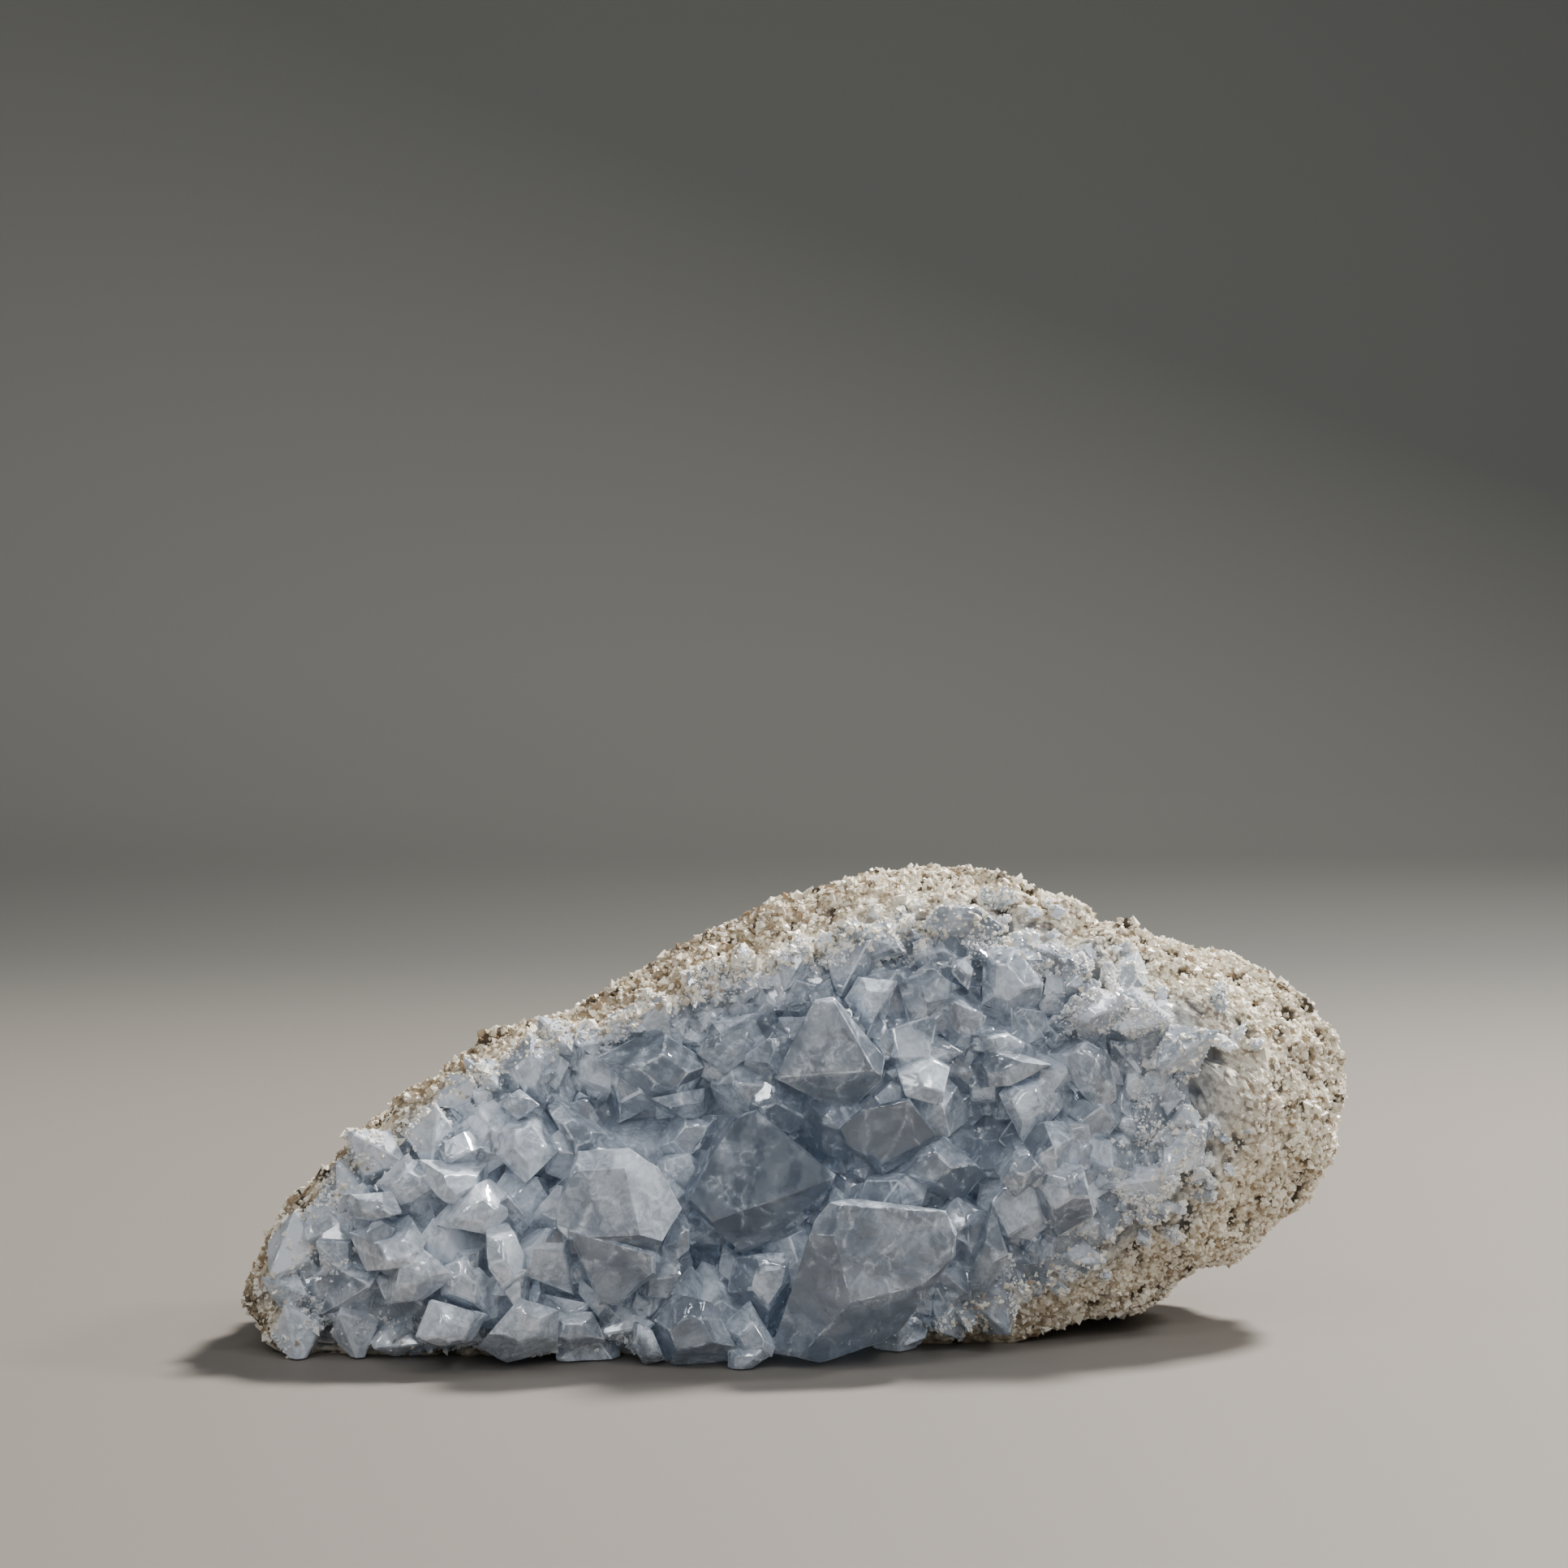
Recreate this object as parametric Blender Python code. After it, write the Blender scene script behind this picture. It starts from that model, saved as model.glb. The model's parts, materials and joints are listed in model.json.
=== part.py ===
"""Celestite specimen: a split geode with a rough rock matrix and a crust of pale blue crystals."""
import math
import random

import bmesh
import bpy
import numpy as np
from mathutils import Matrix, Vector, noise

# Driving dimensions, in millimetres unless a name says otherwise
MM = 0.001
SEED = 11
GAP = 0.42
FLOOR_CLEARANCE = 0.25
FLOOR_SIZE = 400.0
# The point of the floor under the middle of the specimen, which becomes the origin
ORIGIN = Vector((2.3, 1.9, 0.0))

# The specimen is drawn as it is seen from the front and a little above. A drawing point (x, z) lies
# on an upright plane and is carried along the line of sight to the depth y where the thing is.
EYE = Vector((-1.4, -460.0, 96.0))
DRAWING_Y = -10.0

# The specimen's outline on the drawing, from the left tip over the top to the right and back
OUTLINE = [
    (-82, 6.5), (-80, 12), (-76, 20), (-72.5, 24), (-67, 29), (-60.5, 35), (-53, 40.5), (-48.5, 44),
    (-43, 47.5), (-36.5, 49.5), (-33.5, 50), (-28, 53), (-22.5, 56.5), (-16, 60.5), (-9.5, 63),
    (-2, 66.5), (4, 68), (10, 70), (12.5, 71), (21, 71.5), (28.5, 71), (33, 70), (37.5, 67),
    (41, 65), (43, 62), (44.5, 63.5), (50, 63.5), (53.5, 60.5), (59, 59), (64.5, 57.5), (69, 56.5),
    (73.5, 54), (76.5, 51), (79.5, 47), (81.5, 43), (82, 37), (81, 32), (79.5, 27.5), (75.5, 22.5),
    (71, 18), (67, 14), (59, 11), (55.5, 7), (52, 5.5), (43.5, 4.5), (37.5, 3), (31.5, 0.5),
    (24, -0.5), (14.5, -0.5), (4, -1), (-8, -1), (-22, -1), (-36, -1), (-52, -1), (-66, -1.5),
    (-75, -1.5), (-79, 1),
]
CENTRE = (5.0, 30.0)
CENTRE_DEPTH = 7.0

# How the rim runs round the centre: angle in degrees, depth of the outline, share of the way to the
# centre that the rim takes up, how far the rim swells towards the front, and share at which the
# crust of crystals ends
RIM = [
    (0, 3, 0.60, 15, 0.70), (25, 4, 0.55, 13, 0.74), (42, 5, 0.45, 8, 0.84), (68, 6, 0.50, 10, 0.76),
    (100, 5, 0.50, 10, 0.77), (130, 3, 0.48, 9, 0.80), (150, 0, 0.45, 8, 0.86),
    (180, -10, 0.50, 7, 0.92), (197, -15, 0.60, 7, 0.95), (215, -17, 0.50, 7, 0.96),
    (250, -11, 0.30, 5, 0.96), (290, -9, 0.30, 5, 0.94), (315, -7, 0.50, 9, 0.82), (340, -1, 0.60, 13, 0.74),
]

# The rock: its back, the broken faces of it as turn, tilt and distance from the middle, and the sizes
# and heights of its lumps, knobs and pits
MATRIX_BACK = 38.0
MATRIX_BACK_CENTRE = (-3.0, 30.0)
MATRIX_SQUARENESS = 3.2
MATRIX_SAG = 3.5
MATRIX_CUTS = 13
MATRIX_MIDDLE = Vector((0.0, 10.0, 32.0))
BREAKS = [(164, 14, 25), (197, -6, 25.5), (176, 50, 32), (130, 12, 63), (230, 12, 58), (184, -42, 28)]
BREAK_FLATNESS = 0.85
LUMP_SIZES = [(14.0, 1.5), (6.0, 0.8), (3.2, 0.4)]
KNOB_SIZE = 15.0
KNOB_HEIGHT = 3.2
KNOB_TOP = 0.6
KNOBS_START = -8.0
KNOBS_FULL = 10.0
PIT_SIZE = 7.0
PIT_DEPTH = 5.0
PIT_SHARE = 0.26
PIT_OFFSET = Vector((31, 7, 3))

# The crust that the crystals stand on: how far its surface lies behind the faces of the crystals near
# by and in front of the rock, the share of its width where it starts to thin out, and the dark gaps
# between the crystals as a drawing point, a radius and a depth
CRUST_SINK = 4.5
CRUST_REACH = 3.0
CRUST_LEAST = 0.8
CRUST_THINS = 0.60
CRUST_ROOT = 4.0
CRUST_CUTS = 8
GAPS = [
    (-33.5, 36, 4, 9), (-21.7, 32.6, 4, 9), (-37.3, 25.5, 3.5, 9), (-12, 15, 4, 14), (28.5, 30, 3.5, 9),
    (28.5, 22, 3.5, 9), (3.2, 25, 3, 9), (16, 61, 3.5, 6),
]

# Angles of celestine: the prism and dome faces, in degrees from the growth axis or the broad side
PRISM_ANGLE = 37.9
TIP_ANGLE = 38.0
DOME_ANGLE = 50.6


# Large crystals with a face, folds along its edges and an outline. Each has a name, the depth of the
# face, how many degrees it is turned to the right and tilted up, the corners of the face with the
# fold along the edge that starts there, and the corners of the outline.
CUT_CRYSTALS = [
    ("blue_diamond", -20, 6, 4,
     [(1, 47.5, 75), (3, 51, 55), (6, 51.5, 48), (12, 41, 42), (-3, 40, 72)],
     [(-3, 40), (1, 47.5), (3, 51.5), (6, 52), (13.5, 43), (13, 39.5), (7.5, 34.5)]),
    ("clear_centre", -22, -8, 10,
     [(-5.5, 35, 70), (6, 25, 40), (-12, 18.5, 55), (-16, 22.5, 60), (-12, 28.5, 60), (-9.5, 33.5, 65)],
     [(-5.5, 35.2), (6.2, 25.5), (5.5, 24), (-3, 16), (-7.5, 13.8), (-16, 21.5), (-16.3, 23.5),
      (-9.5, 34)]),
    ("large_lower", -29, 8, 4,
     [(7, 21, 75), (22.5, 20, 55), (24, 16.5, 60), (23.5, 13, 45), (19, 9, 40), (8.5, 6.5, 34),
      (6, 16.5, 34)],
     [(5.5, 21.5), (9, 22), (22.5, 20.2), (24.2, 17), (24, 13.5), (16, 2.5), (13, 0.5), (4, -2.5),
      (-3.5, -1), (3, 18.5)]),
    ("bright_block", -28, -4, 6,
     [(-32.5, 26, 40), (-25, 26.5, 30), (-22.7, 16.5, 55), (-33.5, 16, 60), (-35, 18, 70),
      (-35, 20.5, 70)],
     [(-32, 29), (-24.5, 29.5), (-20, 26.5), (-16.5, 20.5), (-21, 13), (-33.5, 15.8), (-35.3, 18),
      (-35.2, 21)]),
    ("bright_block_foot", -27, 2, -14,
     [(-33, 17, 60), (-21, 13.5, 60), (-21, 11, 50), (-26, 6.5, 50), (-28.5, 6.5, 50)],
     [(-33.5, 17.5), (-20.5, 14), (-20.5, 10.8), (-26, 6), (-28.8, 6)]),
    ("window", -19, 2, -6,
     [(10, 35, 70), (17, 36.5, 60), (21, 31.5, 38), (13, 27, 42), (8, 30, 50), (7, 32.5, 60)],
     [(10, 35.3), (17, 37), (21.6, 31), (17.5, 28), (13, 25.4), (8, 29.3), (6.4, 32)]),
]

# Smaller crystals of the front: a name, the depth of the face, its turn and tilt in degrees before it
# is leant at random, the fold along its edges, and the corners of the outline.
PLAIN_CRYSTALS = [
    ("window_top", -16, -4, 14, 50,
     [(10, 37), (13.5, 40.5), (15.5, 41.5), (17.5, 39.5), (17.5, 35), (13, 33.5)]),
    ("milky", -18, 4, 6, 58,
     [(16, 42), (19, 45), (21.5, 45.5), (24.5, 43), (24.5, 37.5), (21.5, 35.5), (17.5, 38)]),
    ("pale_top", -13, 10, 16, 55,
     [(8.5, 51.5), (10, 54), (14.5, 53.5), (13.5, 50), (11.5, 46)]),
    ("pale_side", -15, 12, 2, 60,
     [(13.5, 50.5), (17.5, 43), (14, 40.5), (11.5, 46)]),
    ("right_block", -19, -14, 8, 52,
     [(22, 30), (27, 27), (26.5, 24.5), (23, 21.5), (13.5, 24), (17, 27.5)]),
    ("right_smooth", -21, 10, 6, 55,
     [(30.5, 26.5), (32, 29.5), (35, 30.5), (37.5, 27), (34, 23), (32, 23.5)]),
    ("right_broad", -20, -12, 4, 50,
     [(36.5, 27), (42, 26), (44, 21.5), (43, 19), (39.5, 16.5), (37, 17.5), (35, 22.5)]),
    ("plate_left", -17, -30, 0, 60,
     [(24.5, 19.5), (28.5, 19), (25.5, 11.5), (24.5, 13.5)]),
    ("plate_right", -19, -24, -4, 60,
     [(29, 19), (31, 13), (28, 8.5), (25, 6.5), (25.5, 12)]),
    ("bright_chip", -10, 10, 20, 55,
     [(24, 57.5), (26, 58), (28, 55), (27, 52), (24, 55.5)]),
    ("upper_clear", -9, 6, 12, 45,
     [(29, 58), (32.5, 58), (38, 53), (37.5, 50.5), (33, 48.5), (29.5, 48.5), (28, 51)]),
    ("upper_dark", -5, 12, 0, 50,
     [(39, 59), (41.5, 60), (45, 54), (44, 51.5), (38.5, 51.5)]),
    ("glint", -13, 4, 26, 50,
     [(28, 47.5), (32.5, 48.5), (36.5, 46), (35.5, 42.5), (29.5, 43.5)]),
    ("shelf", -15, -4, 12, 52,
     [(25.5, 42.5), (28, 44.5), (36.5, 42.5), (36, 41), (31.5, 39.3), (26.5, 39), (24.5, 40.5)]),
    ("under_shelf", -12, 0, -14, 60,
     [(25, 39), (31.5, 39.5), (31.5, 35), (25.5, 35)]),
    ("wedge", -13, -16, 4, 55,
     [(38, 44), (41.5, 45.5), (46, 43), (47, 38), (45, 36)]),
    ("right_grown", -16, -10, 6, 50,
     [(31.5, 37.5), (34, 40), (37.5, 40.5), (39, 36), (36, 31.5), (33, 31)]),
    ("dome_foot", -7, -4, -8, 50,
     [(20.5, 60), (19.5, 63), (22.5, 64.5), (26.5, 64.5), (33, 62), (32.5, 59), (28, 58.5)]),
    ("notch_foot", -5, -18, 4, 50,
     [(46.5, 54.5), (48, 57.5), (51, 58.5), (52, 55), (50, 50), (47.5, 50)]),
    ("under_dome", -12, 6, 10, 48,
     [(17.5, 55), (20, 57), (22.5, 57), (24.5, 54.5), (24.5, 51), (22.5, 49), (18, 49), (16, 52)]),
    ("hanging_tooth", -12, -6, -8, 45,
     [(-27, 42), (-22, 40.5), (-21.5, 36.5), (-26.5, 33), (-28, 34), (-28.5, 38)]),
    ("left_top", -13, -12, 10, 50,
     [(-44.5, 41), (-40.5, 45), (-38, 45), (-36, 43), (-37.5, 36.5), (-39.5, 35.5), (-43, 37),
      (-44.5, 39)]),
    ("left_shoulder", -19, 4, 8, 48,
     [(-43, 34.5), (-38.5, 35.5), (-34.5, 32.5), (-35.5, 28.5), (-39, 25.5), (-40.5, 26), (-43.5, 29.5)]),
    ("left_inner", -17, 10, 12, 55,
     [(-35.5, 35), (-34, 36.5), (-32, 36), (-28, 33), (-28, 30.5), (-32, 29)]),
    ("upper_row", -14, 2, 4, 48,
     [(-27, 42.5), (-22.5, 45), (-18, 47), (-14, 43), (-12.5, 40.5), (-12.5, 38.5), (-16.5, 37),
      (-22, 38)]),
    ("upper_row_foot", -13, 4, -22, 60,
     [(-21.5, 37), (-12, 38), (-11.5, 35), (-14, 33.5), (-17.5, 33.5), (-21, 35.5)]),
    ("roof", -12, 8, 2, 50,
     [(-11.5, 47.5), (-5, 48.5), (-2.5, 51), (-2.5, 48.5), (-5, 45), (-10, 41.5), (-13, 44)]),
    ("roof_small", -9, -10, 6, 55,
     [(-36, 44), (-33.5, 46), (-31.5, 43), (-32, 40.5), (-34.5, 41)]),
    ("roof_pale", -9, 6, 4, 55,
     [(-31.5, 43.5), (-27.5, 47.5), (-26, 44), (-28, 42), (-31, 41)]),
    ("beside_diamond", -13, -20, 4, 55,
     [(-9, 43), (-3, 47.5), (-0.5, 47), (-3, 40.5), (-9.5, 41.5)]),
    ("under_diamond", -13, -4, -26, 58,
     [(-6.5, 37), (-2.5, 39), (7, 34), (1, 30.5), (-5, 34)]),
    ("olive", -13, -6, 6, 52,
     [(-17, 33.5), (-11, 33.5), (-12, 31), (-15.5, 26), (-17, 25), (-20, 28.5), (-20.5, 30.5)]),
    ("back_small", -12, 8, 14, 55,
     [(-26, 30.5), (-22, 31.5), (-20, 30), (-21, 27.5), (-24, 28.5)]),
    ("beside_block", -21, -34, 4, 60,
     [(-39, 21.5), (-34.5, 26.5), (-33.5, 26), (-35, 17), (-39, 19)]),
    ("block_sliver", -24, 40, 0, 60,
     [(-19, 15), (-17, 19), (-15.5, 18.5), (-15.5, 13.5), (-18.5, 11)]),
    ("left_arch", -28, -8, 10, 48,
     [(-60, 12), (-57, 14), (-54.5, 14), (-51.5, 11), (-51.5, 9.5), (-54, 8), (-57, 7), (-61, 7)]),
    ("left_front", -31, 4, -4, 45,
     [(-54.5, 5.5), (-52, 6.5), (-46.5, 5), (-46.5, 3.5), (-48.5, 1), (-52, 0.5), (-55, 1.5)]),
    ("left_brow", -27, -10, 12, 48,
     [(-65.5, 15.5), (-63.5, 17.5), (-57.5, 18.5), (-55.5, 15.5), (-57, 12.5), (-62.5, 12)]),
    ("left_ledge", -23, 4, 14, 50,
     [(-54, 27), (-45.5, 27.5), (-44, 26), (-45.5, 24), (-49.5, 21.5), (-51.5, 21.5), (-53, 24)]),
    ("left_slope", -25, 6, 8, 50,
     [(-49, 22.5), (-45.5, 24), (-42, 22.5), (-41.5, 19.5), (-45.5, 17.5), (-52, 17.5), (-52.5, 20)]),
    ("left_wall", -26, 22, 2, 50,
     [(-45, 17.5), (-41.5, 19), (-39.5, 15.5), (-39, 12), (-39.5, 6.5), (-41.5, 5.5), (-44.5, 12)]),
    ("left_fluted", -28, 8, 4, 50,
     [(-51.5, 11), (-48.5, 12.5), (-45.5, 9.5), (-45.5, 4.5), (-51.5, 7)]),
    ("left_toe", -29, 4, -10, 46,
     [(-45.5, 1), (-40.5, 6), (-36, 4.5), (-35.5, 1), (-37, -1), (-42, -1.5), (-45, -0.5)]),
    ("far_left_ledge", -24, -14, 14, 50,
     [(-66, 22), (-60, 22.5), (-59, 20), (-62, 19), (-65, 19.5)]),
    ("far_left_brow", -23, -6, 10, 50,
     [(-61, 25), (-57.5, 27.5), (-54, 26), (-54, 24), (-57.5, 21.5), (-60.5, 23.5)]),
    ("granular_foot", -27, -6, 2, 45,
     [(-21, 3.5), (-17.5, 6.5), (-13, 5.5), (-11, 2), (-9, 0.5), (-9, -3), (-19.5, -3.5), (-21.5, 1)]),
    ("round_foot", -25, -14, -6, 48,
     [(-26, 1.5), (-24.5, 3.5), (-21.5, 2), (-20, -1.5), (-24, -2.5), (-26, -1)]),
    ("tent", -26, 4, 6, 55,
     [(-6.5, 5.5), (-3.5, 0.5), (-4, -1), (-9, -0.5), (-10.5, 2)]),
    ("steep", -23, 14, 6, 52,
     [(-8.5, 11.5), (-6.5, 13), (0.5, 13), (-0.5, 8), (-3, 1), (-6, 3), (-9, 7)]),
    ("low_foot", -27, 0, -10, 55,
     [(-9, 0), (-3.5, 0.5), (-3.5, -1), (-7, -3.5), (-9, -3)]),
    ("block_root", -24, -26, -4, 55,
     [(-33.5, 13.5), (-29, 7), (-26.5, 4.5), (-28, 1), (-30.5, 1.5), (-34.5, 7.5), (-35, 12)]),
    ("middle_toe", -25, 0, -10, 50,
     [(-35, 4.5), (-30.5, 4.5), (-29, 1), (-33.5, 0), (-36, 1)]),
]
# The most corners of a small crystal, the size of its sides and of its top face as shares of its
# outline, how far the top face lies off the middle, how much its folds differ, in degrees, and how
# far it may be turned and tilted besides
PLAIN_CORNERS = 5
PLAIN_SPREAD = 1.30
PLAIN_TABLE = 0.55
PLAIN_SHIFT = 0.9
FOLD_SPREAD = 14
TURN_LEAN = (-16, 22)
TILT_LEAN = (-12, 24)

# Druse between the large crystals: from which share of the way to the edge of the crust, the range of
# widths in millimetres, the range of lengths as shares of the width, and the faces of the tip
DRUSE = [
    (0.00, (8.0, 11.5), (0.45, 0.75), 4),
    (0.55, (6.5, 9.5), (0.45, 0.75), 4),
    (0.84, (4.4, 6.8), (0.5, 0.8), 2),
]
DRUSE_TRIES = 2200
DRUSE_PACKING = 0.47
DRUSE_LEAN = 0.28
DRUSE_FRONTWARDS = 0.3
DOME_START = 1.03
ROOT = 4.0
ROOT_SHARE = 0.97
BLOCK_SIZE = 100.0


def seen(x, z, y):
    """The point at depth y that is seen behind the point (x, z) of the drawing."""
    share = (y - EYE.y) / (DRAWING_Y - EYE.y)
    return Vector((EYE.x + (x - EYE.x) * share, y, EYE.z + (z - EYE.z) * share))


def around(angle, column):
    """A value of the rim table at an angle in degrees, eased from one row to the next."""
    angle %= 360
    rows = RIM + [(RIM[0][0] + 360,) + RIM[0][1:]]
    for low, high in zip(rows, rows[1:]):
        if low[0] <= angle <= high[0]:
            share = (angle - low[0]) / (high[0] - low[0])
            ease = share * share * (3 - 2 * share)
            return low[column] + (high[column] - low[column]) * ease
    return rows[0][column]


def outline_reach(angle):
    """How far the outline lies from the centre of the drawing at an angle in degrees."""
    offsets = [(x - CENTRE[0], z - CENTRE[1]) for x, z in OUTLINE]
    angles = [math.degrees(math.atan2(z, x)) % 360 for x, z in offsets]
    reaches = [math.hypot(x, z) for x, z in offsets]
    order = np.argsort(angles)
    return float(np.interp(angle % 360, np.array(angles)[order], np.array(reaches)[order], period=360))


REACH = [outline_reach(angle) for angle in range(361)]


def outline_point(angle, share=1.0):
    """Drawing point on the way from the centre to the outline."""
    low = int(angle % 360)
    reach = REACH[low] + (REACH[low + 1] - REACH[low]) * (angle % 360 - low)
    turn = math.radians(angle)
    return (CENTRE[0] + share * reach * math.cos(turn), CENTRE[1] + share * reach * math.sin(turn))


def polar(x, z):
    """Angle in degrees and share of the way to the outline of a drawing point."""
    dx, dz = x - CENTRE[0], z - CENTRE[1]
    angle = math.degrees(math.atan2(dz, dx)) % 360
    edge = outline_point(angle)
    return angle, math.hypot(dx, dz) / math.hypot(edge[0] - CENTRE[0], edge[1] - CENTRE[1])


def front_depth(angle, share):
    """Depth of the rock's hollowed front, share 0 at the centre and 1 on the outline."""
    ring, width, height = (around(angle, column) for column in (1, 2, 3))
    swell = math.sin(math.pi * min(1.0, (1 - share) / width))
    return ring + (CENTRE_DEPTH - ring) * (1 - share ** 1.5) - height * swell


def front_point(angle, share, lift=0.0):
    """Point on the hollowed front, or lift millimetres nearer than it."""
    x, z = outline_point(angle, share)
    return seen(x, z, front_depth(angle, share) - lift)


def middle_of(corners):
    """Middle of the corners of a drawn outline."""
    return (sum(corner[0] for corner in corners) / len(corners),
            sum(corner[1] for corner in corners) / len(corners))


FACES = [(*middle_of(outline), depth) for _, depth, *_, outline in CUT_CRYSTALS + PLAIN_CRYSTALS]


def crust_depth(angle, share):
    """Depth of the crust's own surface, share as on the rock's front."""
    x, z = outline_point(angle, share)
    pulls = [(CRUST_REACH ** 2 + (x - a) ** 2 + (z - b) ** 2) ** -2 for a, b, _ in FACES]
    inner = sum(pull * face[2] for pull, face in zip(pulls, FACES)) / sum(pulls) + CRUST_SINK
    inner += sum(deep * math.exp(-((x - a) ** 2 + (z - b) ** 2) / size ** 2) for a, b, size, deep in GAPS)
    outer = front_depth(angle, share) - CRUST_LEAST
    thin = min(1.0, max(0.0, (share / around(angle, 4) - CRUST_THINS) / (1 - CRUST_THINS)))
    return min(outer, inner + (outer - inner) * thin * thin * (3 - 2 * thin))


def crust_point(angle, share):
    """Point on the crust's own surface."""
    x, z = outline_point(angle, share)
    return seen(x, z, crust_depth(angle, share))


def back_point(angle, ring, pole):
    """Point on the rounded back: ring is 1 on the outline, pole is 1 at the far end."""
    start = front_point(angle, 1.0)
    end = Vector((MATRIX_BACK_CENTRE[0], MATRIX_BACK, MATRIX_BACK_CENTRE[1]))
    length = (ring ** MATRIX_SQUARENESS + pole ** MATRIX_SQUARENESS) ** (1 / MATRIX_SQUARENESS)
    point = end.lerp(start, ring / length)
    point.y = start.y + (MATRIX_BACK - start.y) * pole / length
    point.z -= MATRIX_SAG * 4 * pole * (1 - pole)
    return point


def broken(point):
    """A point of the back, pressed towards the broken faces that it lies outside of."""
    for turn, tilt, distance in BREAKS:
        normal = face_normal(turn, tilt)
        excess = (point - MATRIX_MIDDLE).dot(normal) - distance
        if excess > 0:
            point = point - normal * excess * BREAK_FLATNESS
    return point


def lump_height(point):
    """How far the rock's surface stands proud at a point, from lumps, knobs and pits."""
    height = sum(reach * noise.noise(point / size) for size, reach in LUMP_SIZES)
    near, next_near = noise.voronoi(point / KNOB_SIZE)[0][:2]
    share = min(1.0, max(0.0, (point.y - KNOBS_START) / (KNOBS_FULL - KNOBS_START)))
    knob = share * KNOB_HEIGHT * (min(KNOB_TOP, next_near - near) - KNOB_TOP / 2)
    pit = max(0.0, noise.noise(point / PIT_SIZE + PIT_OFFSET) - PIT_SHARE)
    return height + knob - PIT_DEPTH * pit


def ball(cuts):
    """A sphere of radius 1 with even faces and no poles, from a cube cut into a grid."""
    bm = bmesh.new()
    bmesh.ops.create_cube(bm, size=2.0)
    bmesh.ops.subdivide_edges(bm, edges=bm.edges[:], cuts=cuts, use_grid_fill=True)
    for vert in bm.verts:
        vert.co = Vector([math.tan(value * math.pi / 4) for value in vert.co]).normalized()
    return bm


def face_outwards(bm):
    """Turn all faces of a closed shape outwards."""
    bmesh.ops.recalc_face_normals(bm, faces=bm.faces[:])
    if bm.calc_volume(signed=True) < 0:
        bmesh.ops.reverse_faces(bm, faces=bm.faces[:])
    bm.normal_update()


def matrix_shape():
    """The rock as a sphere whose front half is pressed into a hollow with a swollen rim."""
    bm = ball(MATRIX_CUTS)
    for vert in bm.verts:
        side, depth, up = vert.co
        ring = math.hypot(side, up)
        angle = math.degrees(math.atan2(up, side))
        if depth <= 0:
            vert.co = front_point(angle, ring)
        else:
            vert.co = broken(back_point(angle, ring, depth))
    bmesh.ops.triangulate(bm, faces=bm.faces[:])
    face_outwards(bm)
    moves = [(vert, vert.normal * lump_height(vert.co)) for vert in bm.verts]
    for vert, move in moves:
        vert.co += move
    return bm


def grown(bm, distance):
    """A copy of a closed shape with its surface moved out by a distance."""
    copy = bm.copy()
    copy.normal_update()
    moves = [(vert, vert.normal * distance) for vert in copy.verts]
    for vert, move in moves:
        vert.co += move
    return copy


def keep_below(bm, point, normal):
    """Cut a closed shape with a plane, keep the side against the normal and close the cut."""
    geometry = bm.verts[:] + bm.edges[:] + bm.faces[:]
    cut = bmesh.ops.bisect_plane(
        bm, geom=geometry, dist=1e-4, plane_co=point, plane_no=normal, clear_outer=True)
    edges = [item for item in cut["geom_cut"] if isinstance(item, bmesh.types.BMEdge)]
    if edges:
        bmesh.ops.edgeloop_fill(bm, edges=edges)


def convex_block(planes, middle, reach):
    """A cube about a middle point with everything outside each (point, normal) plane cut off."""
    bm = bmesh.new()
    bmesh.ops.create_cube(bm, size=2 * reach, matrix=Matrix.Translation(middle))
    for point, normal in planes:
        keep_below(bm, point, normal)
    return bm


def face_normal(turn, tilt):
    """Direction that a face looks in: towards the front, turned to the right and tilted up."""
    turn, tilt = math.radians(turn), math.radians(tilt)
    return Vector((math.sin(turn) * math.cos(tilt), -math.cos(turn) * math.cos(tilt), math.sin(tilt)))


def clockwise(corners):
    """Whether drawing corners run clockwise as seen from the front."""
    pairs = zip(corners, corners[1:] + corners[:1])
    return sum(a[0] * b[1] - b[0] * a[1] for a, b in pairs) < 0


def onto_plane(x, z, point, normal):
    """Where the line of sight through a drawing point meets a plane."""
    start = seen(x, z, DRAWING_Y)
    sight = start - EYE
    return EYE + sight * ((point - EYE).dot(normal) / sight.dot(normal))


def fold_planes(corners, folds, point, normal):
    """Planes that go back from the edges of a face, folded by an angle in degrees each."""
    spots = [onto_plane(x, z, point, normal) for x, z in corners]
    side = -1 if clockwise(corners) else 1
    planes = []
    for start, end, fold in zip(spots, spots[1:] + spots[:1], folds):
        outward = (end - start).cross(normal).normalized() * side
        if outward.dot(start - sum(spots, Vector()) / len(spots)) < 0:
            outward.negate()
        turn = math.radians(fold)
        planes.append(((start + end) / 2, normal * math.cos(turn) + outward * math.sin(turn)))
    return planes


def sight_planes(corners):
    """Planes through the eye along the edges of an outline, so that it shows just so."""
    middle = seen(*middle_of(corners), 0)
    planes = []
    for start, end in zip(corners, corners[1:] + corners[:1]):
        near, far = seen(*start, DRAWING_Y), seen(*end, DRAWING_Y)
        normal = (near - EYE).cross(far - EYE).normalized()
        if normal.dot(middle - EYE) > 0:
            normal.negate()
        planes.append((near, normal))
    return planes


def drawn_crystal(depth, turn, tilt, corners, folds, outline):
    """A large crystal from its drawn face, its folds and its outline, rooted in the rock."""
    x, z = middle_of(corners)
    angle, share = polar(x, z)
    root = front_depth(angle, min(share, ROOT_SHARE)) + ROOT
    middle = seen(x, z, depth)
    normal = face_normal(turn, tilt)
    planes = [(middle, normal)] + fold_planes(corners, folds, middle, normal) + sight_planes(outline)
    planes.append((Vector((0, root, 0)), Vector((0, 1, 0))))
    return convex_block(planes, middle, BLOCK_SIZE)


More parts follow.
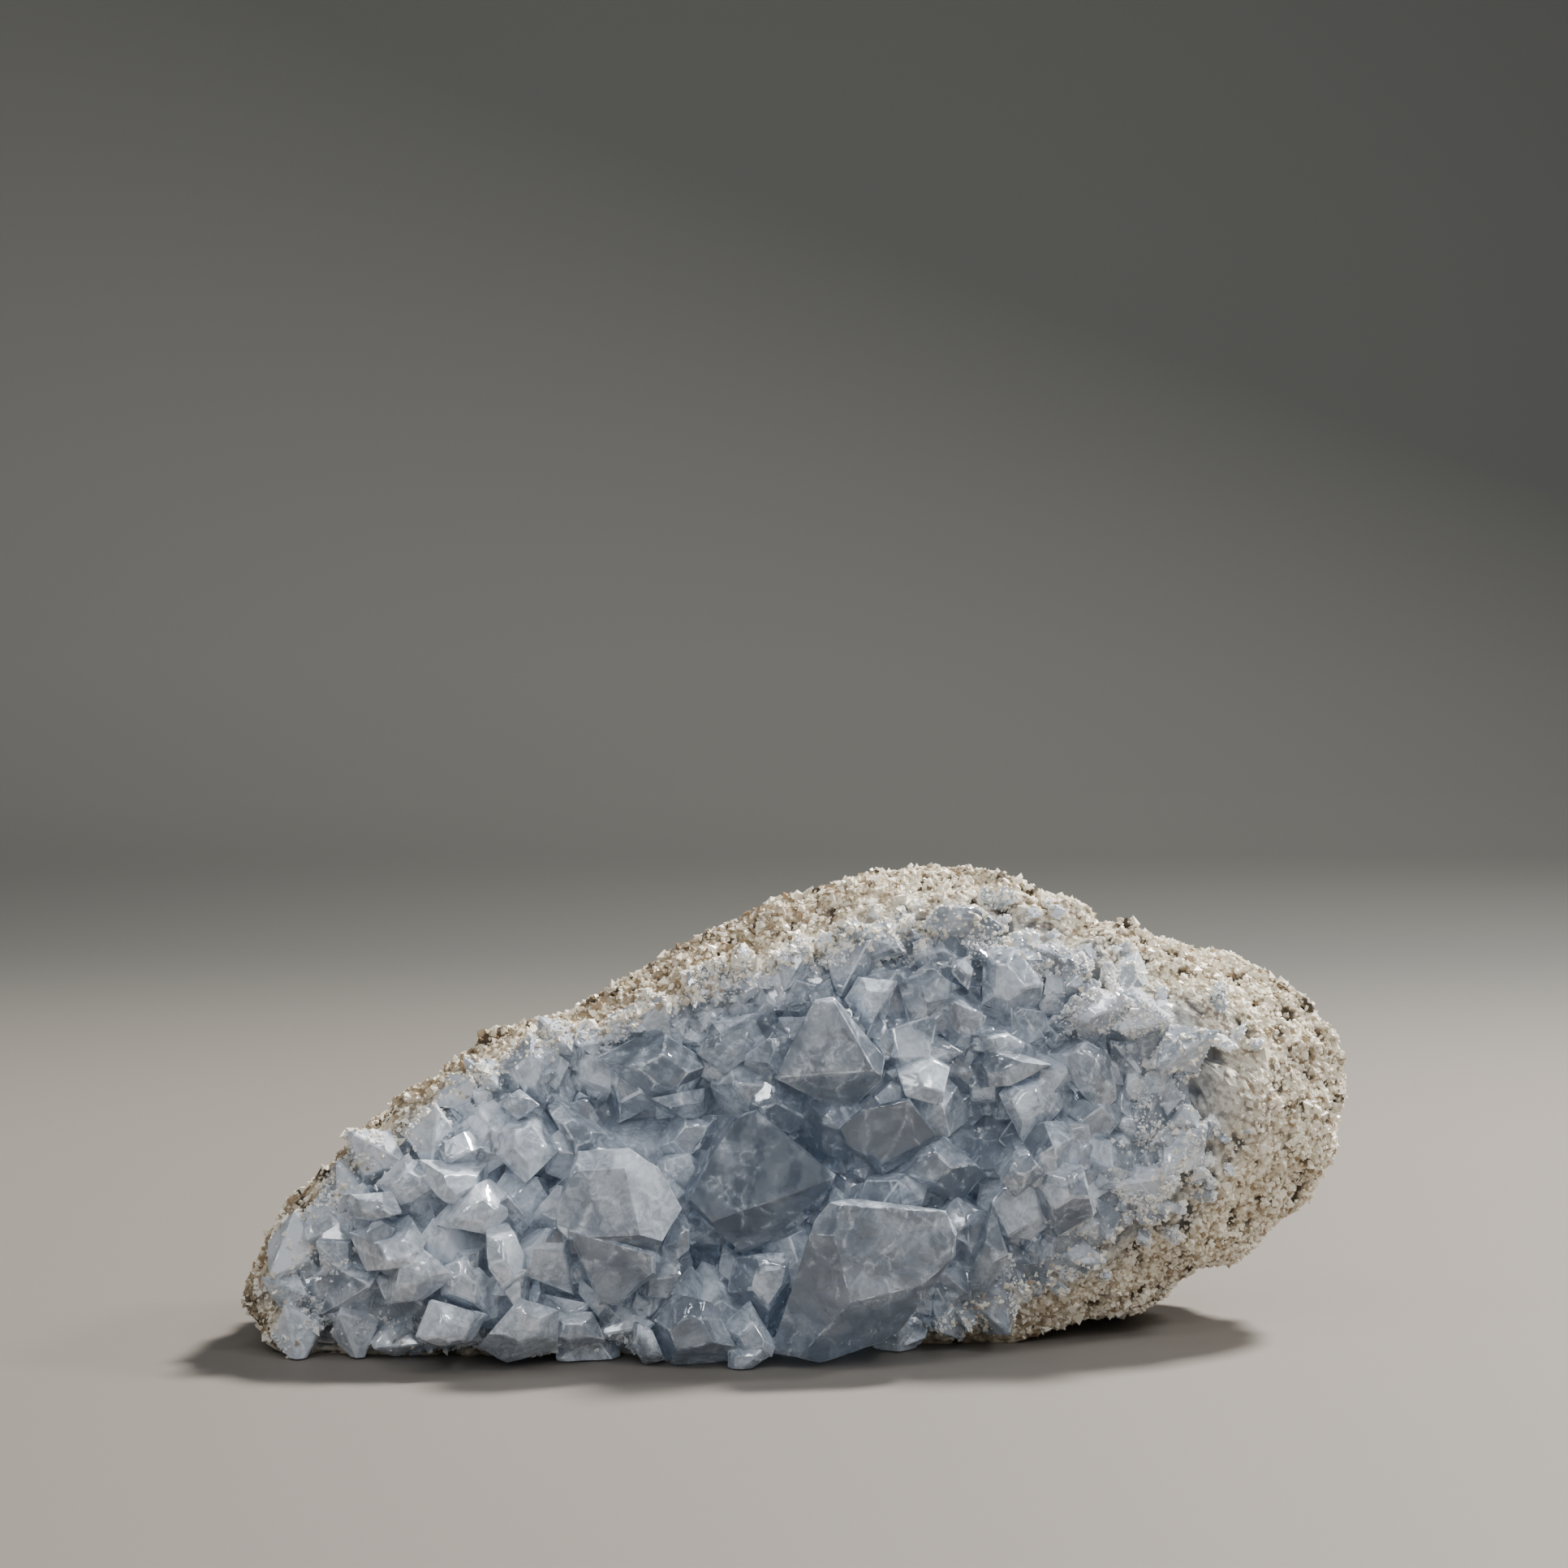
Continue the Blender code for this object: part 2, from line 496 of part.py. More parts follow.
def widened(corners, spread):
    """Corners moved away from their middle."""
    x, z = middle_of(corners)
    return [(x + (a - x) * spread, z + (b - z) * spread) for a, b in corners]


def fewer(corners):
    """An outline with its shortest edges closed up until it has few enough corners."""
    corners = list(corners)
    while len(corners) > PLAIN_CORNERS:
        lengths = [math.dist(corners[i - 1], corners[i]) for i in range(len(corners))]
        short = lengths.index(min(lengths))
        (ax, az), (bx, bz) = corners[short - 1], corners[short]
        corners[short] = ((ax + bx) / 2, (az + bz) / 2)
        del corners[short - 1]
    return corners


def front_crystals():
    """All crystals that are drawn one by one, as (name, shape) pairs."""
    shapes = []
    for name, depth, turn, tilt, face, outline in CUT_CRYSTALS:
        corners = [(x, z) for x, z, fold in face]
        folds = [fold for x, z, fold in face]
        shapes.append((name, drawn_crystal(depth, turn, tilt, corners, folds, outline)))
    rng = random.Random(SEED)
    for name, depth, turn, tilt, fold, drawn in PLAIN_CRYSTALS:
        corners = fewer(drawn)
        aside, up = (rng.uniform(-PLAIN_SHIFT, PLAIN_SHIFT) for _ in range(2))
        face = [(x + aside, z + up) for x, z in widened(corners, PLAIN_TABLE)]
        folds = [fold + rng.uniform(-FOLD_SPREAD, FOLD_SPREAD) for _ in corners]
        outline = widened(corners, PLAIN_SPREAD)
        leant = (turn + rng.uniform(*TURN_LEAN), tilt + rng.uniform(*TILT_LEAN))
        shapes.append((name, drawn_crystal(depth, *leant, face, folds, outline)))
    return shapes


def celestine(width, length, ends):
    """A crystal of celestine standing on its growth axis: four sides and a tip of two or four faces."""
    prism, tip, dome = (math.radians(angle) for angle in (PRISM_ANGLE, TIP_ANGLE, DOME_ANGLE))
    top = Vector((0, 0, length))
    planes = []
    for side in (-1, 1):
        planes.append((top, Vector((side * math.sin(tip), 0, math.cos(tip)))))
        if ends == 4:
            planes.append((top * DOME_START, Vector((0, side * math.sin(dome), math.cos(dome)))))
        for other in (-1, 1):
            normal = Vector((side * math.cos(prism), other * math.sin(prism), 0))
            planes.append((normal * width / 2, normal))
    planes.append((Vector((0, 0, -ROOT)), Vector((0, 0, -1))))
    return convex_block(planes, Vector(), BLOCK_SIZE)


def inside(x, z, corners):
    """Whether a drawing point lies within a polygon."""
    hit = False
    for (ax, az), (bx, bz) in zip(corners, corners[1:] + corners[:1]):
        if (az > z) != (bz > z) and x < (bx - ax) * (z - az) / (bz - az) + ax:
            hit = not hit
    return hit


def crust_normal(angle, share):
    """Direction in which the crust's own surface faces."""
    here = crust_point(angle, share)
    across = crust_point(angle + 2, share) - here
    out = crust_point(angle, share + 0.02) - here
    normal = across.cross(out).normalized()
    return normal if normal.y < 0 else -normal


def druse_kind(share):
    """The row of the druse table for a share of the way to the edge of the crust."""
    return [row for row in DRUSE if share >= row[0]][-1]


def druse_spots(rng):
    """Places for the small crystals, as (angle, share, width, kind), none on top of another."""
    taken = [outline for *_, outline in CUT_CRYSTALS + PLAIN_CRYSTALS]
    spots = []
    points = []
    for _ in range(DRUSE_TRIES):
        angle = rng.uniform(0, 360)
        share = math.sqrt(rng.uniform(0.0, 1.0))
        kind = druse_kind(share)
        width = rng.uniform(*kind[1])
        share *= around(angle, 4)
        x, z = outline_point(angle, share)
        if any(inside(x, z, corners) for corners in taken):
            continue
        if any(math.hypot(x - a, z - b) < DRUSE_PACKING * (width + other) for a, b, other in points):
            continue
        points.append((x, z, width))
        spots.append((angle, share, width, kind))
    return spots


def druse():
    """The small crystals between and around the large ones."""
    rng = random.Random(SEED)
    shapes = []
    for angle, share, width, (_, _, lengths, ends) in druse_spots(rng):
        shape = celestine(width, width * rng.uniform(*lengths), ends)
        lean = Vector([rng.gauss(0, DRUSE_LEAN) for _ in range(3)])
        axis = (crust_normal(angle, share) + Vector((0, -DRUSE_FRONTWARDS, 0)) + lean).normalized()
        turn = axis.to_track_quat("Z", "X").to_matrix().to_4x4()
        spin = Matrix.Rotation(rng.uniform(0, math.tau), 4, "Z")
        place = Matrix.Translation(crust_point(angle, share))
        bmesh.ops.transform(shape, matrix=place @ turn @ spin, verts=shape.verts[:])
        shapes.append(("druse", shape))
    return shapes


def crust_shape():
    """The crust's own body, from its surface to its root in the rock."""
    bm = ball(CRUST_CUTS)
    for vert in bm.verts:
        side, depth, up = vert.co
        angle = math.degrees(math.atan2(up, side))
        share = math.hypot(side, up) * around(angle, 4)
        if depth <= 0:
            vert.co = crust_point(angle, share)
        else:
            vert.co = front_point(angle, share, -CRUST_ROOT * depth)
    return bm


def material(name, colour, roughness, transmission=0.0):
    """A plain surface material."""
    made = bpy.data.materials.new(name)
    made.use_nodes = True
    shader = made.node_tree.nodes["Principled BSDF"]
    shader.inputs["Base Color"].default_value = (*colour, 1.0)
    shader.inputs["Roughness"].default_value = roughness
    shader.inputs["Metallic"].default_value = 0.0
    shader.inputs["Transmission Weight"].default_value = transmission
    return made


def mesh_object(name, bm, collection):
    """An object in metres from a shape in millimetres."""
    face_outwards(bm)
    bmesh.ops.translate(bm, vec=-ORIGIN, verts=bm.verts[:])
    bmesh.ops.scale(bm, vec=(MM, MM, MM), verts=bm.verts[:])
    mesh = bpy.data.meshes.new(name)
    bm.to_mesh(mesh)
    bm.free()
    made = bpy.data.objects.new(name, mesh)
    collection.objects.link(made)
    return made


def largest_piece(bm):
    """Remove every loose piece and closed pocket of a shape and keep its largest surface."""
    bmesh.ops.triangulate(bm, faces=bm.faces[:])
    pieces = []
    left = set(bm.faces)
    while left:
        piece, edge = set(), [left.pop()]
        while edge:
            face = edge.pop()
            piece.add(face)
            shared = [link for link in face.edges if len(link.link_faces) == 2]
            near = {other for link in shared for other in link.link_faces} & left
            left -= near
            edge.extend(near)
        pieces.append(piece)
    largest = max(pieces, key=len)
    bmesh.ops.delete(bm, geom=[face for face in bm.faces if face not in largest], context="FACES")


def as_cutter(made):
    """Mark an object as a tool that isn't part of the specimen."""
    made.hide_render = True
    made.display_type = "WIRE"
    return made


def collection_of(name, parent):
    """A new collection under another."""
    made = bpy.data.collections.new(name)
    parent.children.link(made)
    return made


def boolean(target, operation, other=None, group=None):
    """Add a Boolean with one object, or with all objects of a collection."""
    modifier = target.modifiers.new(operation.title(), "BOOLEAN")
    modifier.operation = operation
    modifier.solver = "MANIFOLD"
    if group:
        modifier.operand_type = "COLLECTION"
        modifier.collection = group
    else:
        modifier.object = other


def settle(made):
    """Turn an object's modifiers into its mesh and keep only its largest piece."""
    evaluated = made.evaluated_get(bpy.context.evaluated_depsgraph_get())
    mesh = bpy.data.meshes.new_from_object(evaluated)
    bm = bmesh.new()
    bm.from_mesh(mesh)
    largest_piece(bm)
    bm.to_mesh(mesh)
    bm.free()
    made.modifiers.clear()
    made.data = mesh


def build_matrix(specimen, cutters):
    """The rock, flat where it rests, and the grown copy of it that trims the crust."""
    shape = matrix_shape()
    around_rock = as_cutter(mesh_object("rock_with_gap", grown(shape, GAP), cutters))
    keep_below(shape, Vector((0, 0, 0)), Vector((0, 0, -1)))
    rock = mesh_object("matrix", shape, specimen)
    rock.data.materials.append(material("rough_rock", (0.46, 0.41, 0.33), 0.9))
    return rock, around_rock


def floor_block(cutters):
    """A block that keeps the crust just clear of what the rock rests on."""
    bm = bmesh.new()
    middle = Vector((0, 0, FLOOR_CLEARANCE - FLOOR_SIZE / 2))
    bmesh.ops.create_cube(bm, size=FLOOR_SIZE, matrix=Matrix.Translation(middle))
    return as_cutter(mesh_object("floor_block", bm, cutters))


def build_crust(specimen, cutters, around_rock):
    """The crust and all its crystals as one solid, trimmed to the rock and the floor."""
    crystals = collection_of("crystals_to_join", cutters)
    for name, shape in front_crystals() + druse():
        as_cutter(mesh_object("cut_" + name, shape, crystals))
    crust = mesh_object("crystal_crust", crust_shape(), specimen)
    crust.data.materials.append(material("pale_blue_crystal", (0.62, 0.71, 0.80), 0.08, 0.85))
    boolean(crust, "UNION", group=crystals)
    boolean(crust, "DIFFERENCE", other=around_rock)
    boolean(crust, "DIFFERENCE", other=floor_block(cutters))
    settle(crust)


def build():
    """Clear the scene and build the specimen."""
    for item in list(bpy.data.objects):
        bpy.data.objects.remove(item, do_unlink=True)
    root = bpy.context.scene.collection
    specimen = collection_of("celestite", root)
    cutters = collection_of("cutters", root)
    around_rock = build_matrix(specimen, cutters)[1]
    build_crust(specimen, cutters, around_rock)


build()
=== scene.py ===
"""Celestite specimen: the looks of a split geode, rough rock outside and blue crystals in its hollow."""
import json
import math
import random

import bmesh
import bpy
import numpy as np
from bpy.props import FloatProperty, FloatVectorProperty, IntProperty, PointerProperty
from bpy.types import Operator, Panel, PropertyGroup
from mathutils import Matrix, Vector, noise

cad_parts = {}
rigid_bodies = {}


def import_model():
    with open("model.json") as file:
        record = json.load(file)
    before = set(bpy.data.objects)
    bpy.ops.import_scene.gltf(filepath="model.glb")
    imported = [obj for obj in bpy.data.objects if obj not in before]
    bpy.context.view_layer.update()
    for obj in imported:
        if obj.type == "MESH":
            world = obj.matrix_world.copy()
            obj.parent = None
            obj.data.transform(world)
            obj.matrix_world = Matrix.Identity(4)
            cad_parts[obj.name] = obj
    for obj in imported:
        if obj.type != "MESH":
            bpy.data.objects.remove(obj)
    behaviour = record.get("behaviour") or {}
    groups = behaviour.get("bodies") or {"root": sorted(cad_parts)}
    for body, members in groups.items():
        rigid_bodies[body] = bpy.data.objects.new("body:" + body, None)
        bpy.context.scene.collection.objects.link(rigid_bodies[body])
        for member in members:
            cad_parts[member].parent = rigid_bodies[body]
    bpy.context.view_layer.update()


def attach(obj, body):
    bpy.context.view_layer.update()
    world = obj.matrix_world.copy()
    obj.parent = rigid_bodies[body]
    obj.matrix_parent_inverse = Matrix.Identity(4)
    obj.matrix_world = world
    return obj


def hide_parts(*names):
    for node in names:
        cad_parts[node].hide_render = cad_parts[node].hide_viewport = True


bl_info = {
    "name": "Celestite Specimen",
    "version": (1, 0, 0),
    "blender": (4, 5, 0),
    "location": "3D View > Sidebar > Celestite",
    "description": "Builds a geode piece lined with blue celestite crystals",
    "category": "Add Mesh",
}

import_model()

# Sizes are in millimetres unless a name says otherwise
MM = 0.001
SEED = 11
# How far the crystals end above the floor, and the size of the block that is cut off below
FLOOR_CLEARANCE = 0.25
CUTTER_SIZE = 400.0
# The point of the floor under the middle of the specimen, which becomes the origin
ORIGIN = Vector((2.3, 1.9, 0.0))

# The specimen is drawn as it is seen from the front and a little above. A drawing point (x, z) lies
# on an upright plane and is carried along the line of sight to the depth y where the thing is.
EYE = Vector((-1.4, -460.0, 96.0))
DRAWING_Y = -10.0

# The specimen's outline on the drawing, from the left tip over the top to the right and back
OUTLINE = [
    (-82, 6.5), (-80, 12), (-76, 20), (-72.5, 24), (-67, 29), (-60.5, 35), (-53, 40.5), (-48.5, 44),
    (-43, 47.5), (-36.5, 49.5), (-33.5, 50), (-28, 53), (-22.5, 56.5), (-16, 60.5), (-9.5, 63),
    (-2, 66.5), (4, 68), (10, 70), (12.5, 71), (21, 71.5), (28.5, 71), (33, 70), (37.5, 67),
    (41, 65), (43, 62), (44.5, 63.5), (50, 63.5), (53.5, 60.5), (59, 59), (64.5, 57.5), (69, 56.5),
    (73.5, 54), (76.5, 51), (79.5, 47), (81.5, 43), (82, 37), (81, 32), (79.5, 27.5), (75.5, 22.5),
    (71, 18), (67, 14), (59, 11), (55.5, 7), (52, 5.5), (43.5, 4.5), (37.5, 3), (31.5, 0.5),
    (24, -0.5), (14.5, -0.5), (4, -1), (-8, -1), (-22, -1), (-36, -1), (-52, -1), (-66, -1.5),
    (-75, -1.5), (-79, 1),
]
# The middle of the hollow on the drawing, its depth and how its floor curves
CENTRE = (5.0, 30.0)
CENTRE_DEPTH = 7.0
HOLLOW_CURVE = 1.5

# How the rim runs round the centre: angle in degrees, depth of the outline, share of the way to the
# centre that the rim takes up, how far the rim swells towards the front, and share at which the
# crust of crystals ends
RIM_DEPTH, RIM_WIDTH, RIM_SWELL, CRUST_EDGE = 1, 2, 3, 4
RIM = [
    (0, 3, 0.60, 15, 0.70), (25, 4, 0.55, 13, 0.74), (42, 5, 0.45, 8, 0.84), (68, 6, 0.50, 10, 0.76),
    (100, 5, 0.50, 10, 0.77), (130, 3, 0.48, 9, 0.80), (150, 0, 0.45, 8, 0.86),
    (180, -10, 0.50, 7, 0.92), (197, -15, 0.60, 7, 0.95), (215, -17, 0.50, 7, 0.96),
    (250, -11, 0.30, 5, 0.96), (290, -9, 0.30, 5, 0.94), (315, -7, 0.50, 9, 0.82), (340, -1, 0.60, 13, 0.74),
]

# The rock: its back, the broken faces of it as turn, tilt and distance from the middle, and the sizes
# and heights of its lumps, knobs and pits
MATRIX_BACK = 38.0
MATRIX_BACK_CENTRE = (-3.0, 30.0)
MATRIX_SQUARENESS = 3.2
MATRIX_SAG = 3.5
MATRIX_CUTS = 13
MATRIX_MIDDLE = Vector((0.0, 10.0, 32.0))
BREAKS = [(164, 14, 25), (197, -6, 25.5), (176, 50, 32), (130, 12, 63), (230, 12, 58), (184, -42, 28)]
BREAK_FLATNESS = 0.85
LUMP_SIZES = [(14.0, 1.5), (6.0, 0.8), (3.2, 0.4)]
KNOB_SIZE = 15.0
KNOB_HEIGHT = 3.2
KNOB_TOP = 0.6
KNOBS_START = -8.0
KNOBS_FULL = 10.0
PIT_SIZE = 7.0
PIT_DEPTH = 5.0
PIT_SHARE = 0.26
PIT_OFFSET = Vector((31, 7, 3))

# The crust that the crystals stand on: how far its surface lies behind the faces of the crystals near
# by, how widely it is levelled, how far it lies in front of the rock at least, the share of its width
# where it starts to thin out, how deep it is rooted, the step in degrees and share for its slope, and
# the dark gaps between the crystals as a drawing point, a radius and a depth
CRUST_SINK = 4.5
CRUST_REACH = 3.0
CRUST_LEAST = 0.8
CRUST_THINS = 0.60
CRUST_ROOT = 4.0
CRUST_CUTS = 8
SLOPE_STEP = (2, 0.02)
GAPS = [
    (-33.5, 36, 4, 9), (-21.7, 32.6, 4, 9), (-37.3, 25.5, 3.5, 9), (-12, 15, 4, 14), (28.5, 30, 3.5, 9),
    (28.5, 22, 3.5, 9), (3.2, 25, 3, 9), (16, 61, 3.5, 6),
]

# Angles of celestine: the prism and dome faces, in degrees from the growth axis or the broad side
PRISM_ANGLE = 37.9
TIP_ANGLE = 38.0
DOME_ANGLE = 50.6


# Large crystals with a face, folds along its edges and an outline. Each has a name, the depth of the
# face, how many degrees it is turned to the right and tilted up, the corners of the face with the
# fold along the edge that starts there, and the corners of the outline.
CUT_CRYSTALS = [
    ("blue_diamond", -20, 6, 4,
     [(1, 47.5, 75), (3, 51, 55), (6, 51.5, 48), (12, 41, 42), (-3, 40, 72)],
     [(-3, 40), (1, 47.5), (3, 51.5), (6, 52), (13.5, 43), (13, 39.5), (7.5, 34.5)]),
    ("clear_centre", -22, -8, 10,
     [(-5.5, 35, 70), (6, 25, 40), (-12, 18.5, 55), (-16, 22.5, 60), (-12, 28.5, 60), (-9.5, 33.5, 65)],
     [(-5.5, 35.2), (6.2, 25.5), (5.5, 24), (-3, 16), (-7.5, 13.8), (-16, 21.5), (-16.3, 23.5),
      (-9.5, 34)]),
    ("large_lower", -29, 8, 4,
     [(7, 21, 75), (22.5, 20, 55), (24, 16.5, 60), (23.5, 13, 45), (19, 9, 40), (8.5, 6.5, 34),
      (6, 16.5, 34)],
     [(5.5, 21.5), (9, 22), (22.5, 20.2), (24.2, 17), (24, 13.5), (16, 2.5), (13, 0.5), (4, -2.5),
      (-3.5, -1), (3, 18.5)]),
    ("bright_block", -28, -4, 6,
     [(-32.5, 26, 40), (-25, 26.5, 30), (-22.7, 16.5, 55), (-33.5, 16, 60), (-35, 18, 70),
      (-35, 20.5, 70)],
     [(-32, 29), (-24.5, 29.5), (-20, 26.5), (-16.5, 20.5), (-21, 13), (-33.5, 15.8), (-35.3, 18),
      (-35.2, 21)]),
    ("bright_block_foot", -27, 2, -14,
     [(-33, 17, 60), (-21, 13.5, 60), (-21, 11, 50), (-26, 6.5, 50), (-28.5, 6.5, 50)],
     [(-33.5, 17.5), (-20.5, 14), (-20.5, 10.8), (-26, 6), (-28.8, 6)]),
    ("window", -19, 2, -6,
     [(10, 35, 70), (17, 36.5, 60), (21, 31.5, 38), (13, 27, 42), (8, 30, 50), (7, 32.5, 60)],
     [(10, 35.3), (17, 37), (21.6, 31), (17.5, 28), (13, 25.4), (8, 29.3), (6.4, 32)]),
]

